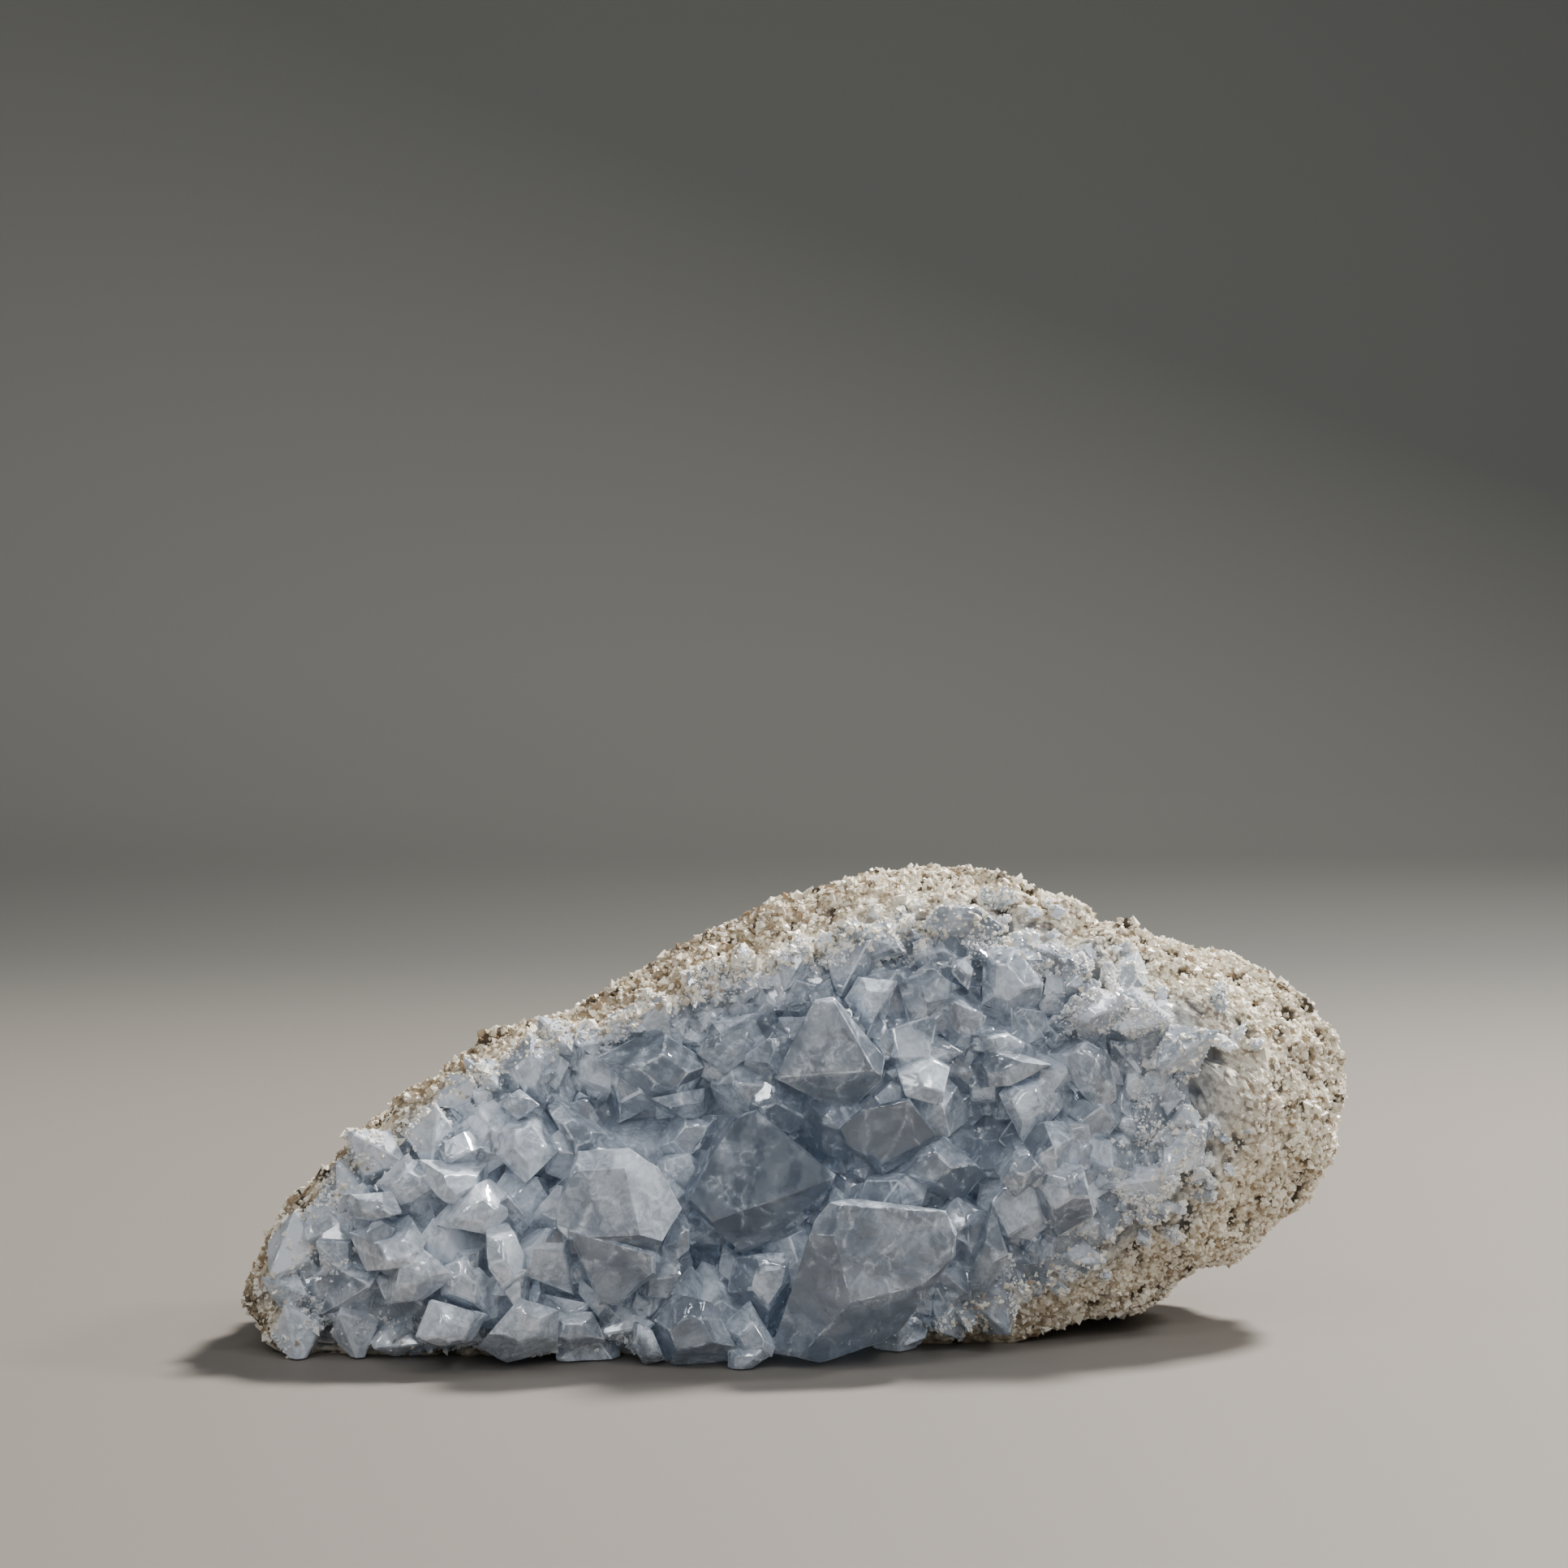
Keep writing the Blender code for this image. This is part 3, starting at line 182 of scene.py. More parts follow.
# Smaller crystals of the front: a name, the depth of the face, its turn and tilt in degrees before it
# is leant at random, the fold along its edges, and the corners of the outline.
PLAIN_CRYSTALS = [
    ("window_top", -16, -4, 14, 50,
     [(10, 37), (13.5, 40.5), (15.5, 41.5), (17.5, 39.5), (17.5, 35), (13, 33.5)]),
    ("milky", -18, 4, 6, 58,
     [(16, 42), (19, 45), (21.5, 45.5), (24.5, 43), (24.5, 37.5), (21.5, 35.5), (17.5, 38)]),
    ("pale_top", -13, 10, 16, 55,
     [(8.5, 51.5), (10, 54), (14.5, 53.5), (13.5, 50), (11.5, 46)]),
    ("pale_side", -15, 12, 2, 60,
     [(13.5, 50.5), (17.5, 43), (14, 40.5), (11.5, 46)]),
    ("right_block", -19, -14, 8, 52,
     [(22, 30), (27, 27), (26.5, 24.5), (23, 21.5), (13.5, 24), (17, 27.5)]),
    ("right_smooth", -21, 10, 6, 55,
     [(30.5, 26.5), (32, 29.5), (35, 30.5), (37.5, 27), (34, 23), (32, 23.5)]),
    ("right_broad", -20, -12, 4, 50,
     [(36.5, 27), (42, 26), (44, 21.5), (43, 19), (39.5, 16.5), (37, 17.5), (35, 22.5)]),
    ("plate_left", -17, -30, 0, 60,
     [(24.5, 19.5), (28.5, 19), (25.5, 11.5), (24.5, 13.5)]),
    ("plate_right", -19, -24, -4, 60,
     [(29, 19), (31, 13), (28, 8.5), (25, 6.5), (25.5, 12)]),
    ("bright_chip", -10, 10, 20, 55,
     [(24, 57.5), (26, 58), (28, 55), (27, 52), (24, 55.5)]),
    ("upper_clear", -9, 6, 12, 45,
     [(29, 58), (32.5, 58), (38, 53), (37.5, 50.5), (33, 48.5), (29.5, 48.5), (28, 51)]),
    ("upper_dark", -5, 12, 0, 50,
     [(39, 59), (41.5, 60), (45, 54), (44, 51.5), (38.5, 51.5)]),
    ("glint", -13, 4, 26, 50,
     [(28, 47.5), (32.5, 48.5), (36.5, 46), (35.5, 42.5), (29.5, 43.5)]),
    ("shelf", -15, -4, 12, 52,
     [(25.5, 42.5), (28, 44.5), (36.5, 42.5), (36, 41), (31.5, 39.3), (26.5, 39), (24.5, 40.5)]),
    ("under_shelf", -12, 0, -14, 60,
     [(25, 39), (31.5, 39.5), (31.5, 35), (25.5, 35)]),
    ("wedge", -13, -16, 4, 55,
     [(38, 44), (41.5, 45.5), (46, 43), (47, 38), (45, 36)]),
    ("right_grown", -16, -10, 6, 50,
     [(31.5, 37.5), (34, 40), (37.5, 40.5), (39, 36), (36, 31.5), (33, 31)]),
    ("dome_foot", -7, -4, -8, 50,
     [(20.5, 60), (19.5, 63), (22.5, 64.5), (26.5, 64.5), (33, 62), (32.5, 59), (28, 58.5)]),
    ("notch_foot", -5, -18, 4, 50,
     [(46.5, 54.5), (48, 57.5), (51, 58.5), (52, 55), (50, 50), (47.5, 50)]),
    ("under_dome", -12, 6, 10, 48,
     [(17.5, 55), (20, 57), (22.5, 57), (24.5, 54.5), (24.5, 51), (22.5, 49), (18, 49), (16, 52)]),
    ("hanging_tooth", -12, -6, -8, 45,
     [(-27, 42), (-22, 40.5), (-21.5, 36.5), (-26.5, 33), (-28, 34), (-28.5, 38)]),
    ("left_top", -13, -12, 10, 50,
     [(-44.5, 41), (-40.5, 45), (-38, 45), (-36, 43), (-37.5, 36.5), (-39.5, 35.5), (-43, 37),
      (-44.5, 39)]),
    ("left_shoulder", -19, 4, 8, 48,
     [(-43, 34.5), (-38.5, 35.5), (-34.5, 32.5), (-35.5, 28.5), (-39, 25.5), (-40.5, 26), (-43.5, 29.5)]),
    ("left_inner", -17, 10, 12, 55,
     [(-35.5, 35), (-34, 36.5), (-32, 36), (-28, 33), (-28, 30.5), (-32, 29)]),
    ("upper_row", -14, 2, 4, 48,
     [(-27, 42.5), (-22.5, 45), (-18, 47), (-14, 43), (-12.5, 40.5), (-12.5, 38.5), (-16.5, 37),
      (-22, 38)]),
    ("upper_row_foot", -13, 4, -22, 60,
     [(-21.5, 37), (-12, 38), (-11.5, 35), (-14, 33.5), (-17.5, 33.5), (-21, 35.5)]),
    ("roof", -12, 8, 2, 50,
     [(-11.5, 47.5), (-5, 48.5), (-2.5, 51), (-2.5, 48.5), (-5, 45), (-10, 41.5), (-13, 44)]),
    ("roof_small", -9, -10, 6, 55,
     [(-36, 44), (-33.5, 46), (-31.5, 43), (-32, 40.5), (-34.5, 41)]),
    ("roof_pale", -9, 6, 4, 55,
     [(-31.5, 43.5), (-27.5, 47.5), (-26, 44), (-28, 42), (-31, 41)]),
    ("beside_diamond", -13, -20, 4, 55,
     [(-9, 43), (-3, 47.5), (-0.5, 47), (-3, 40.5), (-9.5, 41.5)]),
    ("under_diamond", -13, -4, -26, 58,
     [(-6.5, 37), (-2.5, 39), (7, 34), (1, 30.5), (-5, 34)]),
    ("olive", -13, -6, 6, 52,
     [(-17, 33.5), (-11, 33.5), (-12, 31), (-15.5, 26), (-17, 25), (-20, 28.5), (-20.5, 30.5)]),
    ("back_small", -12, 8, 14, 55,
     [(-26, 30.5), (-22, 31.5), (-20, 30), (-21, 27.5), (-24, 28.5)]),
    ("beside_block", -21, -34, 4, 60,
     [(-39, 21.5), (-34.5, 26.5), (-33.5, 26), (-35, 17), (-39, 19)]),
    ("block_sliver", -24, 40, 0, 60,
     [(-19, 15), (-17, 19), (-15.5, 18.5), (-15.5, 13.5), (-18.5, 11)]),
    ("left_arch", -28, -8, 10, 48,
     [(-60, 12), (-57, 14), (-54.5, 14), (-51.5, 11), (-51.5, 9.5), (-54, 8), (-57, 7), (-61, 7)]),
    ("left_front", -31, 4, -4, 45,
     [(-54.5, 5.5), (-52, 6.5), (-46.5, 5), (-46.5, 3.5), (-48.5, 1), (-52, 0.5), (-55, 1.5)]),
    ("left_brow", -27, -10, 12, 48,
     [(-65.5, 15.5), (-63.5, 17.5), (-57.5, 18.5), (-55.5, 15.5), (-57, 12.5), (-62.5, 12)]),
    ("left_ledge", -23, 4, 14, 50,
     [(-54, 27), (-45.5, 27.5), (-44, 26), (-45.5, 24), (-49.5, 21.5), (-51.5, 21.5), (-53, 24)]),
    ("left_slope", -25, 6, 8, 50,
     [(-49, 22.5), (-45.5, 24), (-42, 22.5), (-41.5, 19.5), (-45.5, 17.5), (-52, 17.5), (-52.5, 20)]),
    ("left_wall", -26, 22, 2, 50,
     [(-45, 17.5), (-41.5, 19), (-39.5, 15.5), (-39, 12), (-39.5, 6.5), (-41.5, 5.5), (-44.5, 12)]),
    ("left_fluted", -28, 8, 4, 50,
     [(-51.5, 11), (-48.5, 12.5), (-45.5, 9.5), (-45.5, 4.5), (-51.5, 7)]),
    ("left_toe", -29, 4, -10, 46,
     [(-45.5, 1), (-40.5, 6), (-36, 4.5), (-35.5, 1), (-37, -1), (-42, -1.5), (-45, -0.5)]),
    ("far_left_ledge", -24, -14, 14, 50,
     [(-66, 22), (-60, 22.5), (-59, 20), (-62, 19), (-65, 19.5)]),
    ("far_left_brow", -23, -6, 10, 50,
     [(-61, 25), (-57.5, 27.5), (-54, 26), (-54, 24), (-57.5, 21.5), (-60.5, 23.5)]),
    ("granular_foot", -27, -6, 2, 45,
     [(-21, 3.5), (-17.5, 6.5), (-13, 5.5), (-11, 2), (-9, 0.5), (-9, -3), (-19.5, -3.5), (-21.5, 1)]),
    ("round_foot", -25, -14, -6, 48,
     [(-26, 1.5), (-24.5, 3.5), (-21.5, 2), (-20, -1.5), (-24, -2.5), (-26, -1)]),
    ("tent", -26, 4, 6, 55,
     [(-6.5, 5.5), (-3.5, 0.5), (-4, -1), (-9, -0.5), (-10.5, 2)]),
    ("steep", -23, 14, 6, 52,
     [(-8.5, 11.5), (-6.5, 13), (0.5, 13), (-0.5, 8), (-3, 1), (-6, 3), (-9, 7)]),
    ("low_foot", -27, 0, -10, 55,
     [(-9, 0), (-3.5, 0.5), (-3.5, -1), (-7, -3.5), (-9, -3)]),
    ("block_root", -24, -26, -4, 55,
     [(-33.5, 13.5), (-29, 7), (-26.5, 4.5), (-28, 1), (-30.5, 1.5), (-34.5, 7.5), (-35, 12)]),
    ("middle_toe", -25, 0, -10, 50,
     [(-35, 4.5), (-30.5, 4.5), (-29, 1), (-33.5, 0), (-36, 1)]),
]
# The most corners of such a crystal, the size of its sides and of its top face as shares of its
# outline, how far the top face lies off the middle, and how much its folds differ and how far it is
# leant to the side and up, in degrees
PLAIN_CORNERS = 5
PLAIN_SPREAD = 1.30
PLAIN_TABLE = 0.55
PLAIN_SHIFT = 0.9
FOLD_SPREAD = 14
TURN_LEAN = (-16, 22)
TILT_LEAN = (-12, 24)

# Druse between the large crystals: from which share of the way to the edge of the crust, the range of
# widths in millimetres, the range of lengths as shares of the width, and the faces of the tip. Then how
# many places are tried, how close two may stand as a share of their widths, how far they lean at random
# and to the front, where the tip's second pair of faces starts, how deep all crystals are rooted, up to
# which share of the way to the outline, and the half size of the block that a crystal is cut from.
DRUSE = [
    (0.00, (8.0, 11.5), (0.45, 0.75), 4),
    (0.55, (6.5, 9.5), (0.45, 0.75), 4),
    (0.84, (4.4, 6.8), (0.5, 0.8), 2),
]
DRUSE_TRIES = 2200
DRUSE_PACKING = 0.47
DRUSE_LEAN = 0.28
DRUSE_FRONTWARDS = 0.3
DOME_START = 1.03
ROOT = 4.0
ROOT_SHARE = 0.97
BLOCK_SIZE = 100.0

# Zones of the rock's surface round the centre: angle in degrees, how white the rim is there and how
# much of the rind's grains lies on the crust's edge
WHITENESS, GRAININESS = 1, 2
ZONES = [
    (0, 0.85, 0.15), (25, 0.90, 0.10), (42, 0.85, 0.20), (68, 0.80, 0.40), (95, 0.45, 0.9),
    (110, 0.25, 1.0), (150, 0.20, 1.0), (170, 0.15, 0.4), (190, 0.15, 0.05), (215, 0.30, 0.0),
    (250, 0.30, 0.0), (290, 0.30, 0.0), (315, 0.35, 0.3), (340, 0.75, 0.2),
]

# The rock's grit as sizes and heights, the level it is counted from, and the small holes in it
GRIT = [(2.4, 1.0), (1.2, 0.6), (0.6, 0.5)]
GRIT_LEVEL = 0.45
HOLE_SIZE = 2.6
HOLE_SHARE = 0.16
HOLE_DEPTH = 3.5

# How much the rock's mesh is crowded towards its rim, less for more
RIM_CROWDING = 0.55

# What the rock's mesh carries, as shares of the way to the outline, counted from the crust's edge. The
# look of the hollow starts to fade at the first share and ends at the second, further out on white
# rock and waving a little. A white band rises and falls along the edge. White rock stays bare of
# grains for a share of the way. On the back whiteness and grains thin out by a share, between depths.
# Within the hollow the rock takes the hollow colour: the lining's own blue-grey, darkened as painted shade
# for the gaps between the crystals.
HOLLOW_START, HOLLOW_END = -0.08, 0.03
HOLLOW_ON_WHITE = 0.18
HOLLOW_WAVES = (0.06, 4.0)
BAND_RISE = (-0.12, -0.02)
BAND_FALL = (0.0, 0.10)
BAND_WHITENESS = 0.5
BARE_REACH = 0.13
BARE_FADE = 1.6
RIM_START = (-0.08, -0.02)
BACK_LOSS = 0.75
BACK_WHITE_DEPTHS = (0.0, 0.5)
BACK_RIM_DEPTHS = (0.2, 0.8)

# How milky some of the large crystals are; the others get a random value
MILK = {"blue_diamond": 0.38, "clear_centre": 0.0, "large_lower": 0.20, "bright_block": 0.60,
        "bright_block_foot": 0.35, "window": 0.10, "milky": 0.7, "pale_top": 0.55}
# How milky the crust is, and how much one face of a crystal differs from the next: the most, how soon
# that changes with the way it looks and with its place, and the share of it in clear crystals, which
# rises with their milkiness. Then the left part of the hollow: where it ends on the drawing, how much
# milkier its crystals are and how high the small ones stand there.
CRUST_MILK = 0.38
FACE_MILK = 0.4
FACE_MILK_SPREAD = (2, 9)
FACE_MILK_SHARE = (0.3, 2)
LEFT_REACH = (-45.0, -15.0)
LEFT_MILK = 0.28
LEFT_LIFT = 5.0

# Wear of the large crystals and of the druse: the fewest and most chips, the deepest chip, the range of
# milkiness, the range of widths of the worn edges as shares of the set one, and how pale they are, partly
# frosted wear and partly painted highlight. Then the shallowest chip, how far chips lean at random, the
# cosine of the least angle between a chip and the faces, the angle up to which faces count as one, and
# the distances within which points do.
LARGE_WEAR_AND_HIGHLIGHT = ((2, 4), 0.6, (0.2, 0.6), (0.6, 1.2), 1.0)
DRUSE_WEAR_AND_HIGHLIGHT = ((2, 3), 0.9, (0.28, 0.75), (0.5, 0.9), 0.6)
CHIP_LEAST = 0.2
CHIP_LEAN = 0.25
CHIP_SLANT = 0.82
FLAT_ANGLE = 0.01
MERGE_DISTANCE = 0.004
CUT_TOLERANCE = 1e-4

# Small crystals: one in so many stands within the hollow, up to a share of the way to the crust's edge,
# and the others between two shares, further out on white rock but never past the outline
SMALL_INNER_PART = 3
SMALL_INNER = 0.85
SMALL_OUTER = (0.74, 0.90)
SMALL_SPILL = 0.34
SMALL_LAST = 0.985
# Their widths and how much less they are where the crust ends, their lengths and the height of the
# slanting cut as shares of the width, the slant of the cut, how far they lean at random and to the
# front, and from where, their root, their worn edges and how milky the inner and outer ones are
SMALL_WIDTHS = (1.8, 4.6)
SMALL_THINNING = 0.6
SMALL_THINS = (0.85, 1.15)
SMALL_LENGTHS = (0.5, 1.1)
SMALL_TOPS = (0.25, 0.7)
SMALL_SLANT = 0.5
SMALL_LEAN = 0.35
SMALL_FRONTWARDS = 1.2
SMALL_FRONTWARDS_REACH = (0.7, 0.9)
SMALL_ROOT = 2.5
SMALL_EDGE = 0.14
SMALL_INNER_MILK = (0.25, 0.65)
SMALL_OUTER_MILK = (0.35, 0.9)

# How fine the crystals' faces are cut, and the sizes and heights of their unevenness
ETCH_LENGTH = 1.5
ETCH_ROUNDS = 4
ETCH_SIZES = [(2.6, 0.14), (0.9, 0.05)]
SHARP_ANGLE = 24.0

# Stage, with lengths in metres: the floor's half width, mesh and roughness, where and how it sweeps up,
# between which distances behind the specimen it fades into its shade and into the backdrop, and the main
# and the front light
FLOOR_REACH = 4.0
FLOOR_CUTS = 40
FLOOR_ROUGHNESS = 0.6
SWEEP_START = 1.4
SWEEP_RISE = 0.8
SHADE_FADE = (0.16, 0.72)
BACKDROP_FADE = (0.7, 3.0)
KEY_PLACE = Vector((0.56, 0.42, 0.98))
KEY_SIZE = 0.16
KEY_COLOUR = (1.0, 0.97, 0.93)
FRONT_PLACE = Vector((0.3, -2.2, 0.85))
FRONT_SIZE = 2.2
FILL_COLOUR = (0.95, 0.97, 1.0)
LIGHTS_AIM = Vector((0.0, 0.0, 0.03))

# Small lamps that glint in the crystals' faces, the last of which also lights the right end: turn to
# the right of the front, height above the floor, both in degrees, and share of the power. Then their
# distance and size in metres.
GLINTS = [(-62, 48, 0.8), (-24, 58, 0.7), (14, 66, 0.8), (52, 48, 1.6), (-38, 24, 0.4), (24, 34, 0.5),
          (-8, 40, 0.4), (98, 36, 4.7)]
GLINT_DISTANCE = 1.4
GLINT_SIZE = 0.17

# Camera: lens and sensor in millimetres, pitch down in degrees, and nearest distance in metres
CAMERA_LENS = 70.0
CAMERA_SENSOR = 36.0
CAMERA_PITCH = 1.6
CAMERA_NEAR = 0.01

# How deep the crystals' roots reach into the rock
HIDDEN_ROOT = 1.2

# Grains: how many shapes there are, how their corners lie and move, the share by which their sizes
# differ, their tones as middle and spread, and the lowest height they lie at
GRAIN_SHAPES = 16
GRAIN_REACH = (0.55, 1.15)
GRAIN_SHIFT = 0.3
RIND_SPREAD = 0.35
RIND_TONES = (0.46, 0.42)
RIND_LOWEST = 1.3
SUGAR_SPREAD = 0.4
SUGAR_TONES = (0.6, 0.25)
SUGAR_LOWEST = 0.8

# Where grains lie on the crust: how far inside the hollow's edge rind and sugar grains thin out, and
# how far proud of the crust, in millimetres. White rock lightens the rind's grains by a share, and
# those on the crust by a fixed whiteness and a little coolness. Some sugar lies outside its patches
# and on rock that isn't white. Further inside than CRUST_INWARD there are none. The patches are noise
# of two sizes, between two limits.
RIM_INWARD, RIM_PROUD = (0.06, 0.0), (6.0, 2.5)
SUGAR_INWARD, SUGAR_PROUD = (0.17, 0.02), (5.0, 2.0)
WHITE_TONE = 0.55
RIM_WHITENESS = 0.6
RIM_COOLNESS = 0.15
SUGAR_BETWEEN = 0.05
SUGAR_ON_TAN = 0.35
CRUST_INWARD = 0.2
PATCH_SIZES = (5, 1.7)
PATCH_SHARE = 0.35
PATCH_LIMITS = (0.0, 0.35)

# The rock's colours: the darkest tan as a share of the set one, the whiteness of the pale patches and
# the share of cream on the high spots, which is partly the rind's pale grains and partly painted
# highlight. The crystals' mottling has a least share in clear parts.
DARK_TAN = 0.72
PATCH_WHITENESS = 0.2
CREAM_HIGHLIGHT_SHARE = 0.85
MOTTLE_LEAST = 0.15

# Colours of the grains, dark and light, of rind and sugar, how much they vary within a grain, and the
# cool tint of those in the hollow with its share
TONE_WAVES = 0.5
COOL_SHARE = 0.9
RIND_COLOURS = (0.33, 0.235, 0.135), (0.98, 0.91, 0.76)
SUGAR_COLOURS = (0.60, 0.62, 0.66), (0.95, 0.94, 0.91)
COOL_GRAIN = (0.64, 0.69, 0.75)


class RockSettings(PropertyGroup):
    """Sizes and colours of the rough rock."""

    cuts: IntProperty(
        name="Mesh Cuts", description="Cuts of each side of the cube that the rock is made from",
        default=112, min=20, max=125)
    grit_height: FloatProperty(
        name="Grit Height", description="Height of the rock's grit", default=0.00075,
        subtype="DISTANCE", unit="LENGTH")
    tan: FloatVectorProperty(
        name="Tan", description="Colour of the rind", subtype="COLOR", size=3, min=0, max=1,
        default=(0.40, 0.30, 0.18))
    # The cream is the rind's own colour at its right end; on the high spots it is partly painted highlight.
    cream: FloatVectorProperty(
        name="Cream", description="Colour of the rind's high spots and of its right end",
        subtype="COLOR", size=3, min=0, max=1, default=(0.96, 0.88, 0.70))
    # The pit colour is painted shade: dark brown laid into the rind's low spots.
    pit: FloatVectorProperty(
        name="Pit", description="Colour in the rind's pits", subtype="COLOR", size=3, min=0, max=1,
        default=(0.075, 0.055, 0.035))
    # The hollow colour is the lining's own blue-grey, darkened as painted shade for the gaps between the
    # crystals.
    hollow: FloatVectorProperty(
        name="Hollow", description="Colour of the rock behind the crystals", subtype="COLOR", size=3,
        min=0, max=1, default=(0.31, 0.34, 0.38))


class CrystalSettings(PropertyGroup):
    """Sizes and colours of the see-through crystals."""

    edge: FloatProperty(
        name="Edge", description="Width of the worn edges of the large crystals", default=0.00032,
        subtype="DISTANCE", unit="LENGTH")
    blue: FloatVectorProperty(
        name="Blue", description="Surface colour of the clear crystals", subtype="COLOR", size=3,
        min=0, max=1, default=(0.70, 0.815, 0.96))
    milk: FloatVectorProperty(
        name="Milk", description="Colour of the milky crystals and frosted patches",
        subtype="COLOR", size=3, min=0, max=1, default=(0.865, 0.915, 0.98))
    absorbed: FloatVectorProperty(
        name="Absorption Colour", description="Colour that light keeps on its way through a crystal",
        subtype="COLOR", size=3, min=0, max=1, default=(0.55, 0.68, 0.80))
    density: FloatProperty(
        name="Absorption Density", description="How strongly the crystals absorb, per metre",
        default=24.0, min=0)
    ior: FloatProperty(name="IOR", description="Index of refraction", default=1.62, min=1, max=2)
    small_count: IntProperty(
        name="Small Crystals", description="How many small crystals grow in gaps and round the rim",
        default=1000, min=0)


class GrainSettings(PropertyGroup):
    """The loose-looking grains of the rind and the white sugar along the crystals."""

    rind_count: IntProperty(
        name="Rind Grains", description="How many grains stand on the rind", default=20000, min=0)
    sugar_count: IntProperty(
        name="Sugar Grains", description="How many white grains lie along the crystals",
        default=14000, min=0)
    rim_count: IntProperty(
        name="Rim Grains", description="Grains on the outermost part of the crust", default=3500, min=0)
    rind_size: FloatProperty(
        name="Rind Grain Size", description="Middle width of a rind grain", default=0.0009,
        subtype="DISTANCE", unit="LENGTH")
    sugar_size: FloatProperty(
        name="Sugar Grain Size", description="Middle width of a white grain", default=0.00055,
        subtype="DISTANCE", unit="LENGTH")


class StageSettings(PropertyGroup):
    """Floor, backdrop and light."""

    floor: FloatVectorProperty(
        name="Floor", description="Colour of the floor", subtype="COLOR", size=3, min=0, max=1,
        default=(0.182, 0.163, 0.142))
    wall: FloatVectorProperty(
        name="Backdrop", description="Colour of the backdrop", subtype="COLOR", size=3, min=0, max=1,
        default=(0.46, 0.455, 0.42))
    shade: FloatVectorProperty(
        name="Shade", description="Colour of the floor behind the specimen", subtype="COLOR", size=3,
        min=0, max=1, default=(0.096, 0.096, 0.088))
    key_power: FloatProperty(
        name="Key Power", description="Power of the main light in watts", default=43.0, min=0)
    fill_strength: FloatProperty(
        name="Fill Strength", description="Strength of the light from all round", default=0.10, min=0)
    glint_power: FloatProperty(
        name="Glint Power", description="Power of each small lamp that glints in the crystals, in watts",
        default=2.2, min=0)
    front_power: FloatProperty(
        name="Front Power", description="Power of the wide low light from the front in watts",
        default=7.5, min=0)


def seen(x, z, y):
    """The point at depth y that is seen behind the point (x, z) of the drawing."""
    share = (y - EYE.y) / (DRAWING_Y - EYE.y)
    return Vector((EYE.x + (x - EYE.x) * share, y, EYE.z + (z - EYE.z) * share))


def eased(low, high, value):
    """0 below low, 1 above high and a smooth rise between."""
    share = min(1.0, max(0.0, (value - low) / (high - low)))
    return share * share * (3 - 2 * share)


def table_value(rows, angle, column):
    """A value of a table that runs round the centre, eased from one row to the next."""
    angle %= 360
    for low, high in zip(rows, rows[1:] + [(rows[0][0] + 360,) + rows[0][1:]]):
        if low[0] <= angle <= high[0]:
            return low[column] + (high[column] - low[column]) * eased(low[0], high[0], angle)


def around(angle, column):
    """A value of the rim table at an angle in degrees."""
    return table_value(RIM, angle, column)


def zone(angle, column):
    """A value of the zone table at an angle in degrees."""
    return table_value(ZONES, angle, column)


def outline_reach(angle):
    """How far the outline lies from the centre of the drawing at an angle in degrees."""
    offsets = [(x - CENTRE[0], z - CENTRE[1]) for x, z in OUTLINE]
    angles = [math.degrees(math.atan2(z, x)) % 360 for x, z in offsets]
    reaches = [math.hypot(x, z) for x, z in offsets]
    order = np.argsort(angles)
    return float(np.interp(angle % 360, np.array(angles)[order], np.array(reaches)[order], period=360))


REACH = [outline_reach(angle) for angle in range(361)]


def outline_point(angle, share=1.0):
    """Drawing point on the way from the centre to the outline."""
    low = int(angle % 360)
    reach = REACH[low] + (REACH[low + 1] - REACH[low]) * (angle % 360 - low)
    turn = math.radians(angle)
    return (CENTRE[0] + share * reach * math.cos(turn), CENTRE[1] + share * reach * math.sin(turn))


def polar(x, z):
    """Angle in degrees and share of the way to the outline of a drawing point."""
    dx, dz = x - CENTRE[0], z - CENTRE[1]
    angle = math.degrees(math.atan2(dz, dx)) % 360
    edge = outline_point(angle)
    return angle, math.hypot(dx, dz) / math.hypot(edge[0] - CENTRE[0], edge[1] - CENTRE[1])


def front_depth(angle, share):
    """Depth of the rock's hollowed front, share 0 at the centre and 1 on the outline."""
    ring, width, height = (around(angle, column) for column in (RIM_DEPTH, RIM_WIDTH, RIM_SWELL))
    swell = math.sin(math.pi * min(1.0, (1 - share) / width))
    return ring + (CENTRE_DEPTH - ring) * (1 - share ** HOLLOW_CURVE) - height * swell


def front_point(angle, share, lift=0.0):
    """Point on the hollowed front, or lift millimetres nearer than it."""
    x, z = outline_point(angle, share)
    return seen(x, z, front_depth(angle, share) - lift)


def middle_of(corners):
    """Middle of the corners of a drawn outline."""
    return (sum(corner[0] for corner in corners) / len(corners),
            sum(corner[1] for corner in corners) / len(corners))


FACES = [(*middle_of(outline), depth) for _, depth, *_, outline in CUT_CRYSTALS + PLAIN_CRYSTALS]


def crust_depth(angle, share):
    """Depth of the crust's own surface, share as on the rock's front."""
    x, z = outline_point(angle, share)
    pulls = [(CRUST_REACH ** 2 + (x - a) ** 2 + (z - b) ** 2) ** -2 for a, b, _ in FACES]
    inner = sum(pull * depth for pull, (_, _, depth) in zip(pulls, FACES)) / sum(pulls) + CRUST_SINK
    inner += sum(deep * math.exp(-((x - a) ** 2 + (z - b) ** 2) / size ** 2) for a, b, size, deep in GAPS)
    outer = front_depth(angle, share) - CRUST_LEAST
    thin = min(1.0, max(0.0, (share / around(angle, CRUST_EDGE) - CRUST_THINS) / (1 - CRUST_THINS)))
    return min(outer, inner + (outer - inner) * thin * thin * (3 - 2 * thin))


def crust_point(angle, share):
    """Point on the crust's own surface."""
    x, z = outline_point(angle, share)
    return seen(x, z, crust_depth(angle, share))


